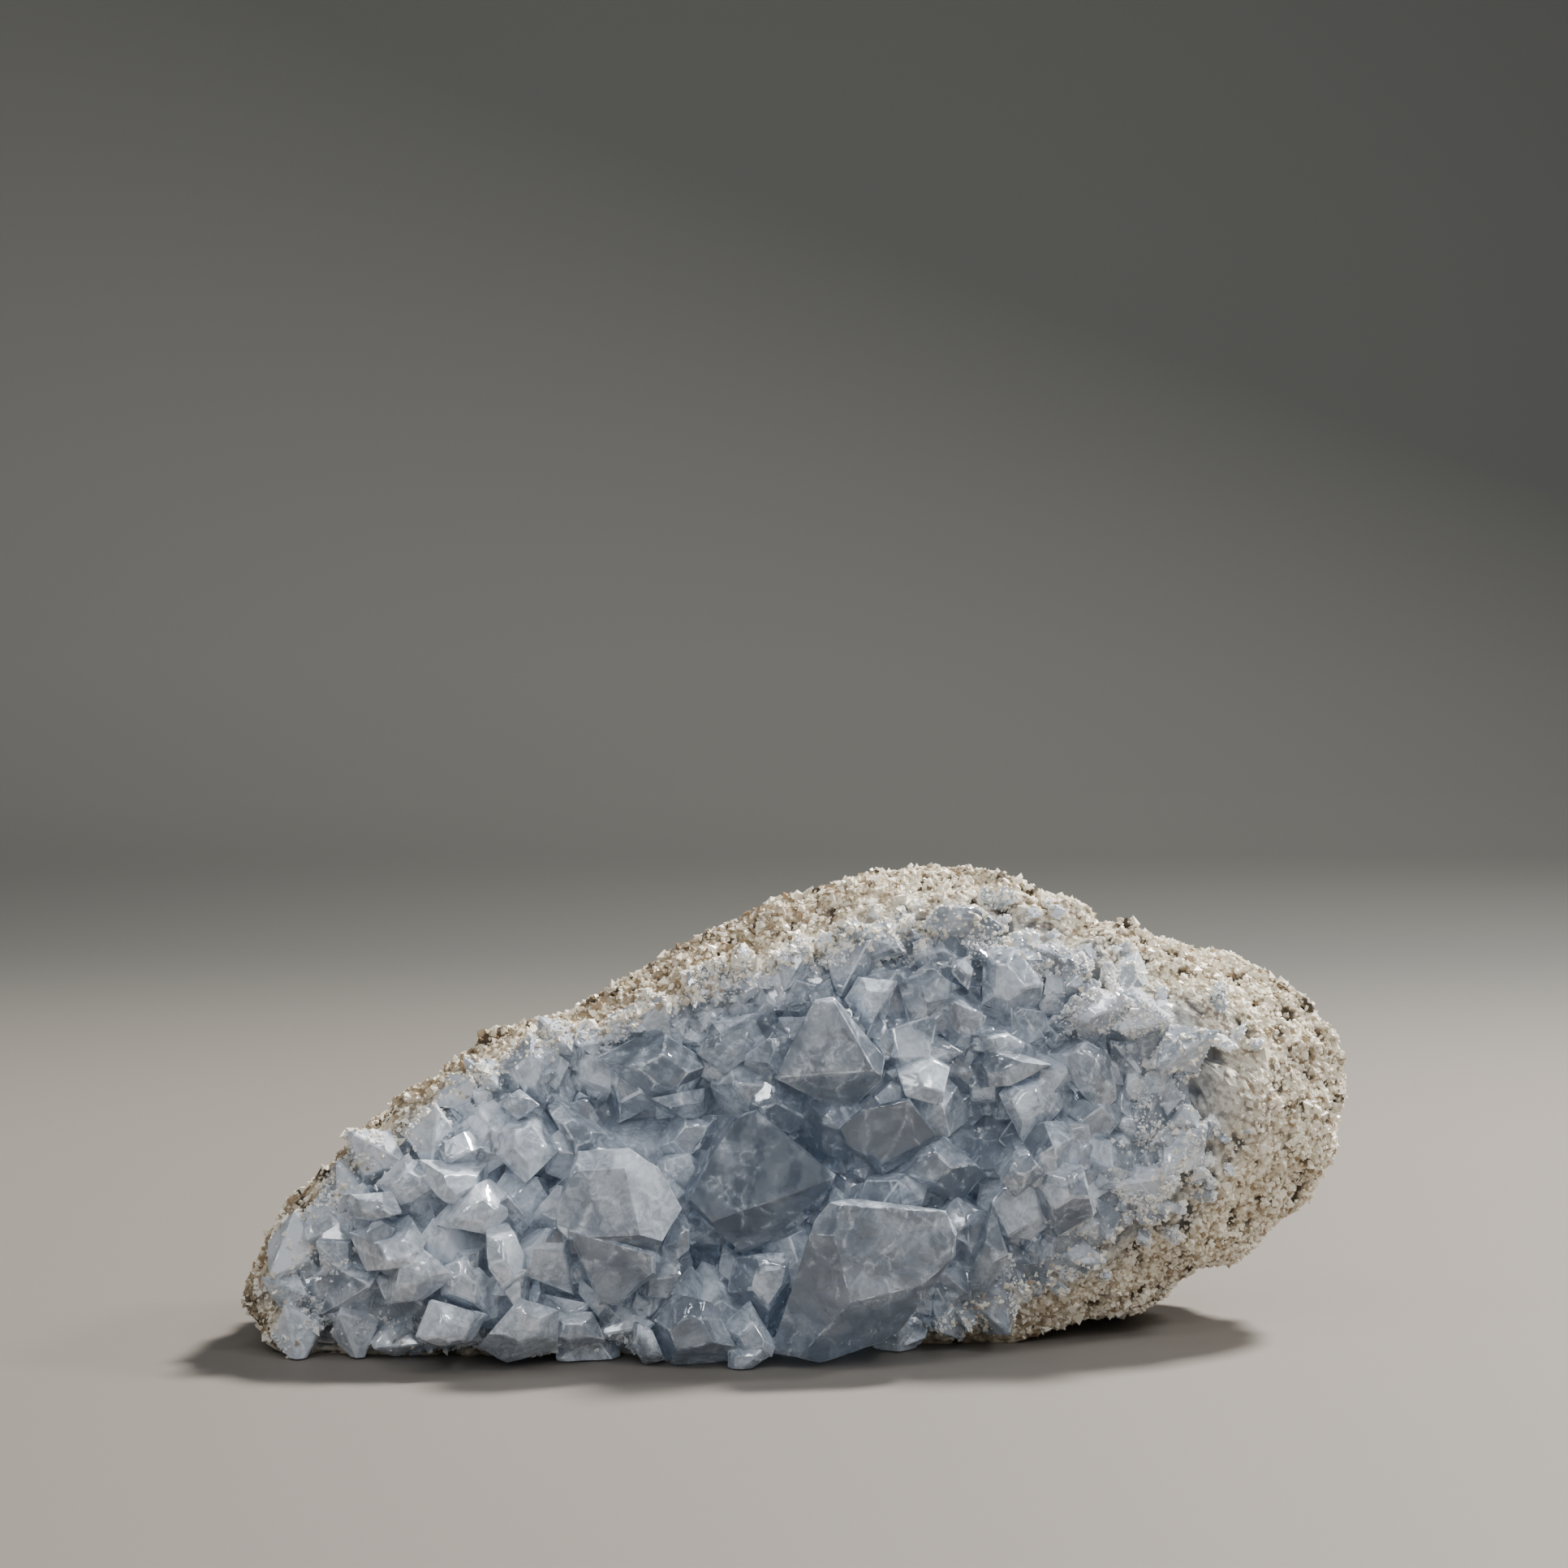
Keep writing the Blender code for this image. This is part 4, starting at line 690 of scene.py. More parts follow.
def back_point(angle, ring, pole):
    """Point on the rounded back, pressed towards the broken faces that it lies outside of.

    Ring is 1 on the outline, pole is 1 at the far end."""
    start = front_point(angle, 1.0)
    end = Vector((MATRIX_BACK_CENTRE[0], MATRIX_BACK, MATRIX_BACK_CENTRE[1]))
    length = (ring ** MATRIX_SQUARENESS + pole ** MATRIX_SQUARENESS) ** (1 / MATRIX_SQUARENESS)
    point = end.lerp(start, ring / length)
    point.y = start.y + (MATRIX_BACK - start.y) * pole / length
    point.z -= MATRIX_SAG * 4 * pole * (1 - pole)
    for turn, tilt, distance in BREAKS:
        normal = face_normal(turn, tilt)
        excess = (point - MATRIX_MIDDLE).dot(normal) - distance
        if excess > 0:
            point -= normal * excess * BREAK_FLATNESS
    return point


def lump_height(point):
    """How far the rock's surface stands proud at a point, from lumps, knobs and pits."""
    height = sum(reach * noise.noise(point / size) for size, reach in LUMP_SIZES)
    near, next_near = noise.voronoi(point / KNOB_SIZE)[0][:2]
    share = min(1.0, max(0.0, (point.y - KNOBS_START) / (KNOBS_FULL - KNOBS_START)))
    knob = share * KNOB_HEIGHT * (min(KNOB_TOP, next_near - near) - KNOB_TOP / 2)
    pit = max(0.0, noise.noise(point / PIT_SIZE + PIT_OFFSET) - PIT_SHARE)
    return height + knob - PIT_DEPTH * pit


def ball(cuts):
    """A sphere of radius 1 with even faces and no poles, from a cube cut into a grid."""
    bm = bmesh.new()
    bmesh.ops.create_cube(bm, size=2.0)
    bmesh.ops.subdivide_edges(bm, edges=bm.edges[:], cuts=cuts, use_grid_fill=True)
    for vert in bm.verts:
        vert.co = Vector([math.tan(value * math.pi / 4) for value in vert.co]).normalized()
    return bm


def ball_places(bm):
    """Each vertex of a ball with its angle round the centre, its distance from it and its depth."""
    for vert in bm.verts:
        side, depth, up = vert.co
        yield vert, math.degrees(math.atan2(up, side)), math.hypot(side, up), depth


def face_outwards(bm):
    """Turn all faces of a closed shape outwards."""
    bmesh.ops.recalc_face_normals(bm, faces=bm.faces[:])
    if bm.calc_volume(signed=True) < 0:
        bmesh.ops.reverse_faces(bm, faces=bm.faces[:])
    bm.normal_update()


def push_out(bm, height):
    """Move each vertex of a shape along its normal, as far as a function of its place says."""
    moves = [(vert, vert.normal * height(vert.co)) for vert in bm.verts]
    for vert, move in moves:
        vert.co += move


def matrix_shape():
    """The rock as a sphere whose front half is pressed into a hollow with a swollen rim."""
    bm = ball(MATRIX_CUTS)
    for vert, angle, ring, depth in ball_places(bm):
        vert.co = front_point(angle, ring) if depth <= 0 else back_point(angle, ring, depth)
    bmesh.ops.triangulate(bm, faces=bm.faces[:])
    face_outwards(bm)
    push_out(bm, lump_height)
    return bm


def grown(bm, distance):
    """A shape with its surface moved out by a distance."""
    bm.normal_update()
    push_out(bm, lambda place: distance)
    return bm


def keep_below(bm, point, normal):
    """Cut a closed shape with a plane, keep the side against the normal and close the cut."""
    geometry = bm.verts[:] + bm.edges[:] + bm.faces[:]
    cut = bmesh.ops.bisect_plane(
        bm, geom=geometry, dist=CUT_TOLERANCE, plane_co=point, plane_no=normal, clear_outer=True)
    edges = [item for item in cut["geom_cut"] if isinstance(item, bmesh.types.BMEdge)]
    if edges:
        bmesh.ops.edgeloop_fill(bm, edges=edges)


def convex_block(planes, middle, reach):
    """A cube about a middle point with everything outside each (point, normal) plane cut off."""
    bm = bmesh.new()
    bmesh.ops.create_cube(bm, size=2 * reach, matrix=Matrix.Translation(middle))
    for point, normal in planes:
        keep_below(bm, point, normal)
    return bm


def face_normal(turn, tilt):
    """Direction that a face looks in: towards the front, turned to the right and tilted up."""
    turn, tilt = math.radians(turn), math.radians(tilt)
    return Vector((math.sin(turn) * math.cos(tilt), -math.cos(turn) * math.cos(tilt), math.sin(tilt)))


def onto_plane(x, z, point, normal):
    """Where the line of sight through a drawing point meets a plane."""
    start = seen(x, z, DRAWING_Y)
    sight = start - EYE
    return EYE + sight * ((point - EYE).dot(normal) / sight.dot(normal))


def fold_planes(corners, folds, point, normal):
    """Planes that go back from the edges of a face, folded by an angle in degrees each."""
    spots = [onto_plane(x, z, point, normal) for x, z in corners]
    middle = sum(spots, Vector()) / len(spots)
    planes = []
    for start, end, fold in zip(spots, spots[1:] + spots[:1], folds):
        outward = (end - start).cross(normal).normalized()
        if outward.dot(start - middle) < 0:
            outward.negate()
        turn = math.radians(fold)
        planes.append(((start + end) / 2, normal * math.cos(turn) + outward * math.sin(turn)))
    return planes


def sight_planes(corners):
    """Planes through the eye along the edges of an outline, so that it shows just so."""
    middle = seen(*middle_of(corners), 0)
    planes = []
    for start, end in zip(corners, corners[1:] + corners[:1]):
        near, far = seen(*start, DRAWING_Y), seen(*end, DRAWING_Y)
        normal = (near - EYE).cross(far - EYE).normalized()
        if normal.dot(middle - EYE) > 0:
            normal.negate()
        planes.append((near, normal))
    return planes


def drawn_crystal(depth, turn, tilt, corners, folds, outline):
    """A large crystal from its drawn face, its folds and its outline, rooted in the rock."""
    x, z = middle_of(corners)
    angle, share = polar(x, z)
    root = front_depth(angle, min(share, ROOT_SHARE)) + ROOT
    middle = seen(x, z, depth)
    normal = face_normal(turn, tilt)
    planes = [(middle, normal)] + fold_planes(corners, folds, middle, normal) + sight_planes(outline)
    planes.append((Vector((0, root, 0)), Vector((0, 1, 0))))
    return convex_block(planes, middle, BLOCK_SIZE)


def widened(corners, spread):
    """Corners moved away from their middle."""
    x, z = middle_of(corners)
    return [(x + (a - x) * spread, z + (b - z) * spread) for a, b in corners]


def fewer(corners):
    """An outline with its shortest edges closed up until it has few enough corners."""
    corners = list(corners)
    while len(corners) > PLAIN_CORNERS:
        lengths = [math.dist(corners[i - 1], corners[i]) for i in range(len(corners))]
        short = lengths.index(min(lengths))
        (ax, az), (bx, bz) = corners[short - 1], corners[short]
        corners[short] = ((ax + bx) / 2, (az + bz) / 2)
        del corners[short - 1]
    return corners


def front_crystals():
    """All crystals that are drawn one by one, as (name, shape) pairs."""
    shapes = []
    for name, depth, turn, tilt, face, outline in CUT_CRYSTALS:
        corners = [(x, z) for x, z, fold in face]
        folds = [fold for x, z, fold in face]
        shapes.append((name, drawn_crystal(depth, turn, tilt, corners, folds, outline)))
    rng = random.Random(SEED)
    for name, depth, turn, tilt, fold, sketch in PLAIN_CRYSTALS:
        corners = fewer(sketch)
        aside, up = (rng.uniform(-PLAIN_SHIFT, PLAIN_SHIFT) for _ in range(2))
        face = [(x + aside, z + up) for x, z in widened(corners, PLAIN_TABLE)]
        folds = [fold + rng.uniform(-FOLD_SPREAD, FOLD_SPREAD) for _ in corners]
        outline = widened(corners, PLAIN_SPREAD)
        leant = (turn + rng.uniform(*TURN_LEAN), tilt + rng.uniform(*TILT_LEAN))
        shapes.append((name, drawn_crystal(depth, *leant, face, folds, outline)))
    return shapes


def celestine(width, length, ends, root=ROOT):
    """A crystal of celestine standing on its growth axis: four sides and a tip of two or four faces."""
    prism, tip, dome = (math.radians(angle) for angle in (PRISM_ANGLE, TIP_ANGLE, DOME_ANGLE))
    top = Vector((0, 0, length))
    planes = []
    for side in (-1, 1):
        planes.append((top, Vector((side * math.sin(tip), 0, math.cos(tip)))))
        if ends == 4:
            planes.append((top * DOME_START, Vector((0, side * math.sin(dome), math.cos(dome)))))
        for other in (-1, 1):
            normal = Vector((side * math.cos(prism), other * math.sin(prism), 0))
            planes.append((normal * width / 2, normal))
    planes.append((Vector((0, 0, -root)), Vector((0, 0, -1))))
    return convex_block(planes, Vector(), BLOCK_SIZE)


def inside(x, z, corners):
    """Whether a drawing point lies within a polygon."""
    hit = False
    for (ax, az), (bx, bz) in zip(corners, corners[1:] + corners[:1]):
        if (az > z) != (bz > z) and x < (bx - ax) * (z - az) / (bz - az) + ax:
            hit = not hit
    return hit


def crust_normal(angle, share):
    """Direction in which the crust's own surface faces."""
    here = crust_point(angle, share)
    across = crust_point(angle + SLOPE_STEP[0], share) - here
    out = crust_point(angle, share + SLOPE_STEP[1]) - here
    normal = across.cross(out).normalized()
    return normal if normal.y < 0 else -normal


def druse_spots(rng):
    """Places for the druse, as (angle, share, width, kind), none on top of another."""
    taken = [outline for *_, outline in CUT_CRYSTALS + PLAIN_CRYSTALS]
    spots = []
    points = []
    for _ in range(DRUSE_TRIES):
        angle = rng.uniform(0, 360)
        share = math.sqrt(rng.uniform(0.0, 1.0))
        kind = [row for row in DRUSE if share >= row[0]][-1]
        width = rng.uniform(*kind[1])
        share *= around(angle, CRUST_EDGE)
        x, z = outline_point(angle, share)
        if any(inside(x, z, corners) for corners in taken):
            continue
        if any(math.hypot(x - a, z - b) < DRUSE_PACKING * (width + other) for a, b, other in points):
            continue
        points.append((x, z, width))
        spots.append((angle, share, width, kind))
    return spots


def random_vector(rng, spread):
    """A vector of three random values about 0."""
    return Vector([rng.gauss(0, spread) for _ in range(3)])


def random_stand(rng, axis):
    """A rotation that stands a shape up along an axis, turned about it at random."""
    turn = axis.to_track_quat("Z", "X").to_matrix().to_4x4()
    return turn @ Matrix.Rotation(rng.uniform(0, math.tau), 4, "Z")


def druse():
    """The middle-sized crystals between and around the large ones, as (name, shape) pairs."""
    rng = random.Random(SEED)
    shapes = []
    for angle, share, width, (_, _, lengths, ends) in druse_spots(rng):
        shape = celestine(width, width * rng.uniform(*lengths), ends)
        lean = random_vector(rng, DRUSE_LEAN)
        axis = (crust_normal(angle, share) + Vector((0, -DRUSE_FRONTWARDS, 0)) + lean).normalized()
        place = Matrix.Translation(crust_point(angle, share)) @ random_stand(rng, axis)
        bmesh.ops.transform(shape, matrix=place, verts=shape.verts[:])
        shapes.append(("druse", shape))
    return shapes


def crust_shape():
    """The crust's own body, from its surface to its root in the rock."""
    bm = ball(CRUST_CUTS)
    for vert, angle, ring, depth in ball_places(bm):
        share = ring * around(angle, CRUST_EDGE)
        if depth <= 0:
            vert.co = crust_point(angle, share)
        else:
            vert.co = front_point(angle, share, -CRUST_ROOT * depth)
    return bm


def drawn(point):
    """The drawing point in front of which a point of the specimen is seen."""
    share = (point[1] - EYE.y) / (DRAWING_Y - EYE.y)
    return EYE.x + (point[0] - EYE.x) / share, EYE.z + (point[2] - EYE.z) / share


def grit_height(point, grit):
    """Relief of the rock's grains and small pits, finer than the lumps of its form."""
    (coarse_size, coarse), (small_size, small), (fine_size, fine) = GRIT
    near = noise.voronoi(point / coarse_size)[0][0]
    next_near = noise.voronoi(point / small_size)[0][0]
    wave = noise.noise(point / fine_size)
    hole = max(0.0, noise.noise(point / HOLE_SIZE + PIT_OFFSET) - HOLE_SHARE)
    return grit * (coarse * (GRIT_LEVEL - near) + small * (GRIT_LEVEL - next_near) + fine * wave
                   - HOLE_DEPTH * hole)


def rock_surface(cuts, grit):
    """The rock with all its relief, and for each vertex how proud, hollow, white and grainy it is."""
    bm = ball(cuts)
    proud, hollow, white, rim = [
        bm.verts.layers.float.new(name) for name in ("proud", "hollow", "white", "rim")]
    for vert, angle, ring, depth in ball_places(bm):
        edge = around(angle, CRUST_EDGE)
        whiteness = zone(angle, WHITENESS)
        if depth <= 0:
            share = ring ** RIM_CROWDING
            vert.co = front_point(angle, share)
            height, size = HOLLOW_WAVES
            fade = edge + HOLLOW_END + HOLLOW_ON_WHITE * whiteness + height * noise.noise(vert.co / size)
            vert[hollow] = 1 - eased(edge + HOLLOW_START, fade, share)
            rise, fall = (eased(edge + low, edge + high, share) for low, high in (BAND_RISE, BAND_FALL))
            vert[white] = min(1.0, whiteness + BAND_WHITENESS * (rise * (1 - fall)))
            bare = BARE_REACH * whiteness
            vert[rim] = eased(edge + bare + RIM_START[0], edge + BARE_FADE * bare + RIM_START[1], share)
        else:
            vert.co = back_point(angle, ring, depth)
            vert[white] = whiteness * (1 - BACK_LOSS * eased(*BACK_WHITE_DEPTHS, depth))
            vert[rim] = 1 - BACK_LOSS * eased(*BACK_RIM_DEPTHS, depth)
    face_outwards(bm)
    push_out(bm, lump_height)
    bm.normal_update()
    for vert in bm.verts:
        height = grit_height(vert.co, grit)
        vert[proud] = height / grit
        vert.co += vert.normal * height
    return bm


def crystal_shapes(settings):
    """All crystals as closed shapes, chipped, with worn edges marked pale, partly frosted wear and partly
    painted highlight, and their milkiness on their faces.
    """
    rng = random.Random(SEED + 1)
    shapes = []
    for crystals, wear_and_highlight in ((front_crystals(), LARGE_WEAR_AND_HIGHLIGHT), (druse(), DRUSE_WEAR_AND_HIGHLIGHT)):
        chips, deepest, milks, widths, pale = wear_and_highlight
        for name, shape in crystals:
            chipped(shape, rng, rng.randint(*chips), deepest)
            middle = sum((vert.co for vert in shape.verts), Vector()) / len(shape.verts)
            milk = MILK.get(name, rng.uniform(*milks) + LEFT_MILK * leftness(middle))
            shapes.append(worn(shape, settings.edge / MM * rng.uniform(*widths), milk, pale))
    return shapes


def leftness(point):
    """1 in the left part of the hollow, 0 in the rest and a smooth change between."""
    return 1 - eased(*LEFT_REACH, drawn(point)[0])


def chipped(bm, rng, count, deepest):
    """Cut some corners off a crystal, each at its own slant, but no slices off its faces."""
    for index in range(count):
        bm.normal_update()
        front = sorted(bm.verts, key=lambda vert: vert.co.y)[:max(3, len(bm.verts) // 2)]
        corner = rng.choice(front) if index else front[0]
        normal = (corner.normal + random_vector(rng, CHIP_LEAN)).normalized()
        if max(normal.dot(face.normal) for face in corner.link_faces) < CHIP_SLANT:
            keep_below(bm, corner.co - normal * rng.uniform(CHIP_LEAST, deepest), normal)


def worn(bm, width, milk, pale):
    """Break the edges of a crystal, and note how milky its faces are and how pale its edges are painted,
    partly frosted wear and partly painted highlight.
    """
    bmesh.ops.dissolve_limit(bm, angle_limit=FLAT_ANGLE, verts=bm.verts[:], edges=bm.edges[:])
    milkiness, edge = [bm.faces.layers.float.new(name) for name in ("milk", "edge")]
    bevels = bmesh.ops.bevel(
        bm, geom=bm.edges[:], offset=width, segments=1, affect="EDGES", clamp_overlap=True)
    by_look, by_place = FACE_MILK_SPREAD
    least, rise = FACE_MILK_SHARE
    for face in bm.faces:
        own = noise.noise(face.normal * by_look + face.calc_center_median() / by_place)
        face[milkiness] = max(0.0, milk + FACE_MILK * own * min(1.0, least + rise * milk))
    for face in bevels["faces"]:
        face[edge] = pale
    bmesh.ops.remove_doubles(bm, verts=bm.verts[:], dist=MERGE_DISTANCE)
    return bm


def small_crystals(settings):
    """Small pale crystals in the hollow's gaps, thickest where the crust thins out at the rim."""
    rng = random.Random(SEED + 2)
    shapes = []
    for index in range(settings.small_count):
        angle = rng.uniform(0, 360)
        whiteness = zone(angle, WHITENESS)
        inner = index % SMALL_INNER_PART == 0
        if inner:
            reach = math.sqrt(rng.random()) * SMALL_INNER
        else:
            reach = rng.uniform(SMALL_OUTER[0], SMALL_OUTER[1] + SMALL_SPILL * whiteness)
        share = min(SMALL_LAST, reach * around(angle, CRUST_EDGE))
        width = rng.uniform(*SMALL_WIDTHS) * (1 - SMALL_THINNING * eased(*SMALL_THINS, reach))
        length = width * rng.uniform(*SMALL_LENGTHS)
        shape = celestine(width, length, rng.choice((2, 4)), root=SMALL_ROOT)
        top = Vector((0, 0, width * rng.uniform(*SMALL_TOPS)))
        slant = face_normal(0, 90).lerp(random_vector(rng, SMALL_SLANT), 0.5).normalized()
        keep_below(shape, top, slant)
        lean = random_vector(rng, SMALL_LEAN)
        lean.y -= SMALL_FRONTWARDS * eased(*SMALL_FRONTWARDS_REACH, reach) * (1 - whiteness)
        out = crust_normal(angle, share)
        stand = random_stand(rng, (out + lean).normalized())
        point = crust_point(angle, share)
        if inner:
            point += out * (LEFT_LIFT * rng.random() * leftness(point))
        bmesh.ops.transform(shape, matrix=Matrix.Translation(point) @ stand, verts=shape.verts[:])
        milk = rng.uniform(*(SMALL_INNER_MILK if inner else SMALL_OUTER_MILK))
        shapes.append(worn(shape, SMALL_EDGE, milk, 0.0))
    return shapes


def with_value(bm, name, value):
    """Give every face of a shape one value of a named attribute."""
    layer = bm.faces.layers.float.new(name)
    for face in bm.faces:
        face[layer] = value
    return bm


def etched(mesh):
    """Cut a mesh in metres finer and make its faces slightly uneven, as if dissolved."""
    bm = bmesh.new()
    bm.from_mesh(mesh)
    bmesh.ops.triangulate(bm, faces=bm.faces[:])
    for _ in range(ETCH_ROUNDS):
        long = [edge for edge in bm.edges if edge.calc_length() > ETCH_LENGTH * MM]
        bmesh.ops.subdivide_edges(bm, edges=long, cuts=1)
        bmesh.ops.triangulate(bm, faces=bm.faces[:])
    bm.normal_update()
    for vert in bm.verts:
        spot = vert.co / MM
        height = sum(reach * noise.noise(spot / size) for size, reach in ETCH_SIZES)
        vert.co += vert.normal * height * MM
    bm.to_mesh(mesh)
    bm.free()
    mesh.shade_smooth()
    mesh.set_sharp_from_angle(angle=math.radians(SHARP_ANGLE))


def placed(name, data, collection=None):
    """A new object with its data, linked to a collection or to the scene."""
    made = bpy.data.objects.new(name, data)
    (collection or bpy.context.scene.collection).objects.link(made)
    return made


def mesh_of(name, bm):
    """A mesh from a shape that isn't needed any more."""
    mesh = bpy.data.meshes.new(name)
    bm.to_mesh(mesh)
    bm.free()
    return mesh


def new_object(name, bm, collection=None):
    """An object in metres from a shape in millimetres."""
    face_outwards(bm)
    bmesh.ops.translate(bm, vec=-ORIGIN, verts=bm.verts[:])
    bmesh.ops.scale(bm, vec=(MM, MM, MM), verts=bm.verts[:])
    return placed(name, mesh_of(name, bm), collection)


def new_collection(name):
    """A new collection in the scene."""
    made = bpy.data.collections.new(name)
    bpy.context.scene.collection.children.link(made)
    return made


def joined(target, tools, cutters):
    """Turn an object into its union with one collection, less each object of another."""
    union = target.modifiers.new("Union", "BOOLEAN")
    union.operation = "UNION"
    union.solver = "MANIFOLD"
    union.operand_type = "COLLECTION"
    union.collection = tools
    for cutter in cutters.objects:
        cut = target.modifiers.new("Cut", "BOOLEAN")
        cut.operation = "DIFFERENCE"
        cut.solver = "MANIFOLD"
        cut.object = cutter
    evaluated = target.evaluated_get(bpy.context.evaluated_depsgraph_get())
    mesh = bpy.data.meshes.new_from_object(evaluated)
    target.modifiers.clear()
    target.data = mesh


def drop(collection):
    """Remove a collection of tools and everything in it."""
    for item in list(collection.objects):
        mesh = item.data
        bpy.data.objects.remove(item, do_unlink=True)
        bpy.data.meshes.remove(mesh)
    bpy.data.collections.remove(collection)


def lumpy_octahedra(rng):
    """Templates of grains: octahedra with every corner moved, as arrays of corners and of faces."""
    corners = np.array([(1, 0, 0), (-1, 0, 0), (0, 1, 0), (0, -1, 0), (0, 0, 1), (0, 0, -1)], float)
    faces = np.array([(0, 2, 4), (2, 1, 4), (1, 3, 4), (3, 0, 4), (2, 0, 5), (1, 2, 5), (3, 1, 5), (0, 3, 5)])
    shapes = [corners * rng.uniform(*GRAIN_REACH, (6, 1)) + rng.uniform(-GRAIN_SHIFT, GRAIN_SHIFT, (6, 3))
              for _ in range(GRAIN_SHAPES)]
    return np.array(shapes), faces


def random_turns(rng, count):
    """Random rotation matrices."""
    quats = rng.normal(size=(count, 4))
    quats /= np.linalg.norm(quats, axis=1, keepdims=True)
    w, x, y, z = quats.T
    rows = [1 - 2 * (y * y + z * z), 2 * (x * y - w * z), 2 * (x * z + w * y),
            2 * (x * y + w * z), 1 - 2 * (x * x + z * z), 2 * (y * z - w * x),
            2 * (x * z - w * y), 2 * (y * z + w * x), 1 - 2 * (x * x + y * y)]
    return np.stack(rows, axis=1).reshape(count, 3, 3)


def scattered(name, points, sizes, values, rng):
    """One object of many grains at given points, in metres, each with its size and named values."""
    shapes, faces = lumpy_octahedra(rng)
    count, corner_count = len(points), shapes.shape[1]
    picked = shapes[rng.integers(0, len(shapes), count)]
    corners = np.einsum("nij,nkj->nki", random_turns(rng, count), picked)
    corners = corners * sizes[:, None, None] / 2 + points[:, None, :]
    indices = faces[None] + corner_count * np.arange(count)[:, None, None]
    mesh = bpy.data.meshes.new(name)
    mesh.from_pydata(corners.reshape(-1, 3).tolist(), [], indices.reshape(-1, 3).tolist())
    for key, value in values.items():
        layer = mesh.attributes.new(key, "FLOAT", "POINT")
        layer.data.foreach_set("value", np.repeat(value, corner_count).astype(np.float32))
    return placed(name, mesh)


def triangles_of(mesh):
    """Corner positions of a mesh's triangles and their vertex indices."""
    mesh.calc_loop_triangles()
    spots = np.empty(len(mesh.vertices) * 3)
    mesh.vertices.foreach_get("co", spots)
    indices = np.empty(len(mesh.loop_triangles) * 3, dtype=int)
    mesh.loop_triangles.foreach_get("vertices", indices)
    return spots.reshape(-1, 3), indices.reshape(-1, 3)


def values_of(mesh, name):
    """The values of a mesh's named attribute, one for each vertex."""
    values = np.empty(len(mesh.vertices), dtype=np.float32)
    mesh.attributes[name].data.foreach_get("value", values)
    return values


def ramp(low, high, values):
    """0 at low, 1 at high and a smooth rise between, for an array of values."""
    share = np.clip((values - low) / (high - low), 0, 1)
    return share * share * (3 - 2 * share)


def crust_place(point):
    """How far inside the hollow's edge, how white, how grainy, how proud and how patchy a point is."""
    angle, share = polar(*drawn(point))
    inward = around(angle, CRUST_EDGE) - share
    proud = crust_depth(angle, min(1.0, share)) - point.y if inward < CRUST_INWARD else 0.0
    wide, small = (noise.noise(point / size) for size in PATCH_SIZES)
    patch = eased(*PATCH_LIMITS, wide + PATCH_SHARE * small)
    return inward, zone(angle, WHITENESS), zone(angle, GRAININESS), proud, patch


def above(height, spots, triangles):
    """Which triangles lie wholly above a height in millimetres."""
    return spots[triangles][:, :, 2].min(axis=1) > height * MM


def spread_over(spots, triangles, weights, count, rng):
    """Random points on triangles, more where area times weight is large, with the triangle of each."""
    a, b, c = (spots[triangles[:, i]] for i in range(3))
    normals = np.cross(b - a, c - a)
    area = np.linalg.norm(normals, axis=1) * weights
    picked = rng.choice(len(triangles), size=count, p=area / area.sum())
    u, v = rng.random((2, count))
    flip = u + v > 1
    u[flip], v[flip] = 1 - u[flip], 1 - v[flip]
    points = a[picked] + (b - a)[picked] * u[:, None] + (c - a)[picked] * v[:, None]
    return points, picked


def material(name):
    """A new material with its shader, its output and its node tree."""
    made = bpy.data.materials.new(name)
    made.use_nodes = True
    tree = made.node_tree
    return made, tree, tree.nodes["Principled BSDF"], tree.nodes["Material Output"]


def fill(made, inputs):
    """Set a node's inputs, by name or number, each to a value or to another node's output."""
    for key, value in inputs.items():
        if isinstance(value, bpy.types.NodeSocket):
            made.id_data.links.new(value, made.inputs[key])
        else:
            made.inputs[key].default_value = value


def node(tree, kind, inputs, **settings):
    """A new node with its settings and its inputs."""
    made = tree.nodes.new(kind)
    for name, value in settings.items():
        setattr(made, name, value)
    fill(made, inputs)
    return made


def place_in_mm(tree):
    """Object coordinates counted in millimetres."""
    place = tree.nodes.new("ShaderNodeTexCoord").outputs["Object"]
    return node(tree, "ShaderNodeVectorMath", {0: place, "Scale": 1 / MM}, operation="SCALE").outputs[0]


def noise_of(tree, place, size, detail=3.0, rough=0.55, distortion=0.0):
    """Noise with a feature size in millimetres."""
    inputs = {"Vector": place, "Scale": 1 / size, "Detail": detail, "Roughness": rough,
              "Distortion": distortion}
    return node(tree, "ShaderNodeTexNoise", inputs).outputs["Fac"]


def cells_of(tree, place, size, feature="F1"):
    """Distances in Voronoi cells with a size in millimetres."""
    inputs = {"Vector": place, "Scale": 1 / size}
    return node(tree, "ShaderNodeTexVoronoi", inputs, feature=feature).outputs["Distance"]


def steps(tree, value, low, high, start=0.0, end=1.0):
    """A value carried smoothly from one range to another, and held at its ends."""
    inputs = dict(enumerate((value, low, high, start, end)))
    return node(tree, "ShaderNodeMapRange", inputs, interpolation_type="SMOOTHSTEP").outputs[0]


def sums(tree, operation, first, second):
    """A sum, product or the like of two values or links."""
    return node(tree, "ShaderNodeMath", {0: first, 1: second}, operation=operation).outputs[0]


def mixed(tree, share, first, second):
    """A colour between two colours or links."""
    inputs = {0: share, 6: first, 7: second}
    for key in (6, 7):
        if not isinstance(inputs[key], bpy.types.NodeSocket):
            inputs[key] = (*inputs[key], 1.0)
    return node(tree, "ShaderNodeMix", inputs, data_type="RGBA").outputs[2]


def attribute(tree, name):
    """A value that the mesh carries."""
    return node(tree, "ShaderNodeAttribute", {}, attribute_name=name).outputs["Fac"]


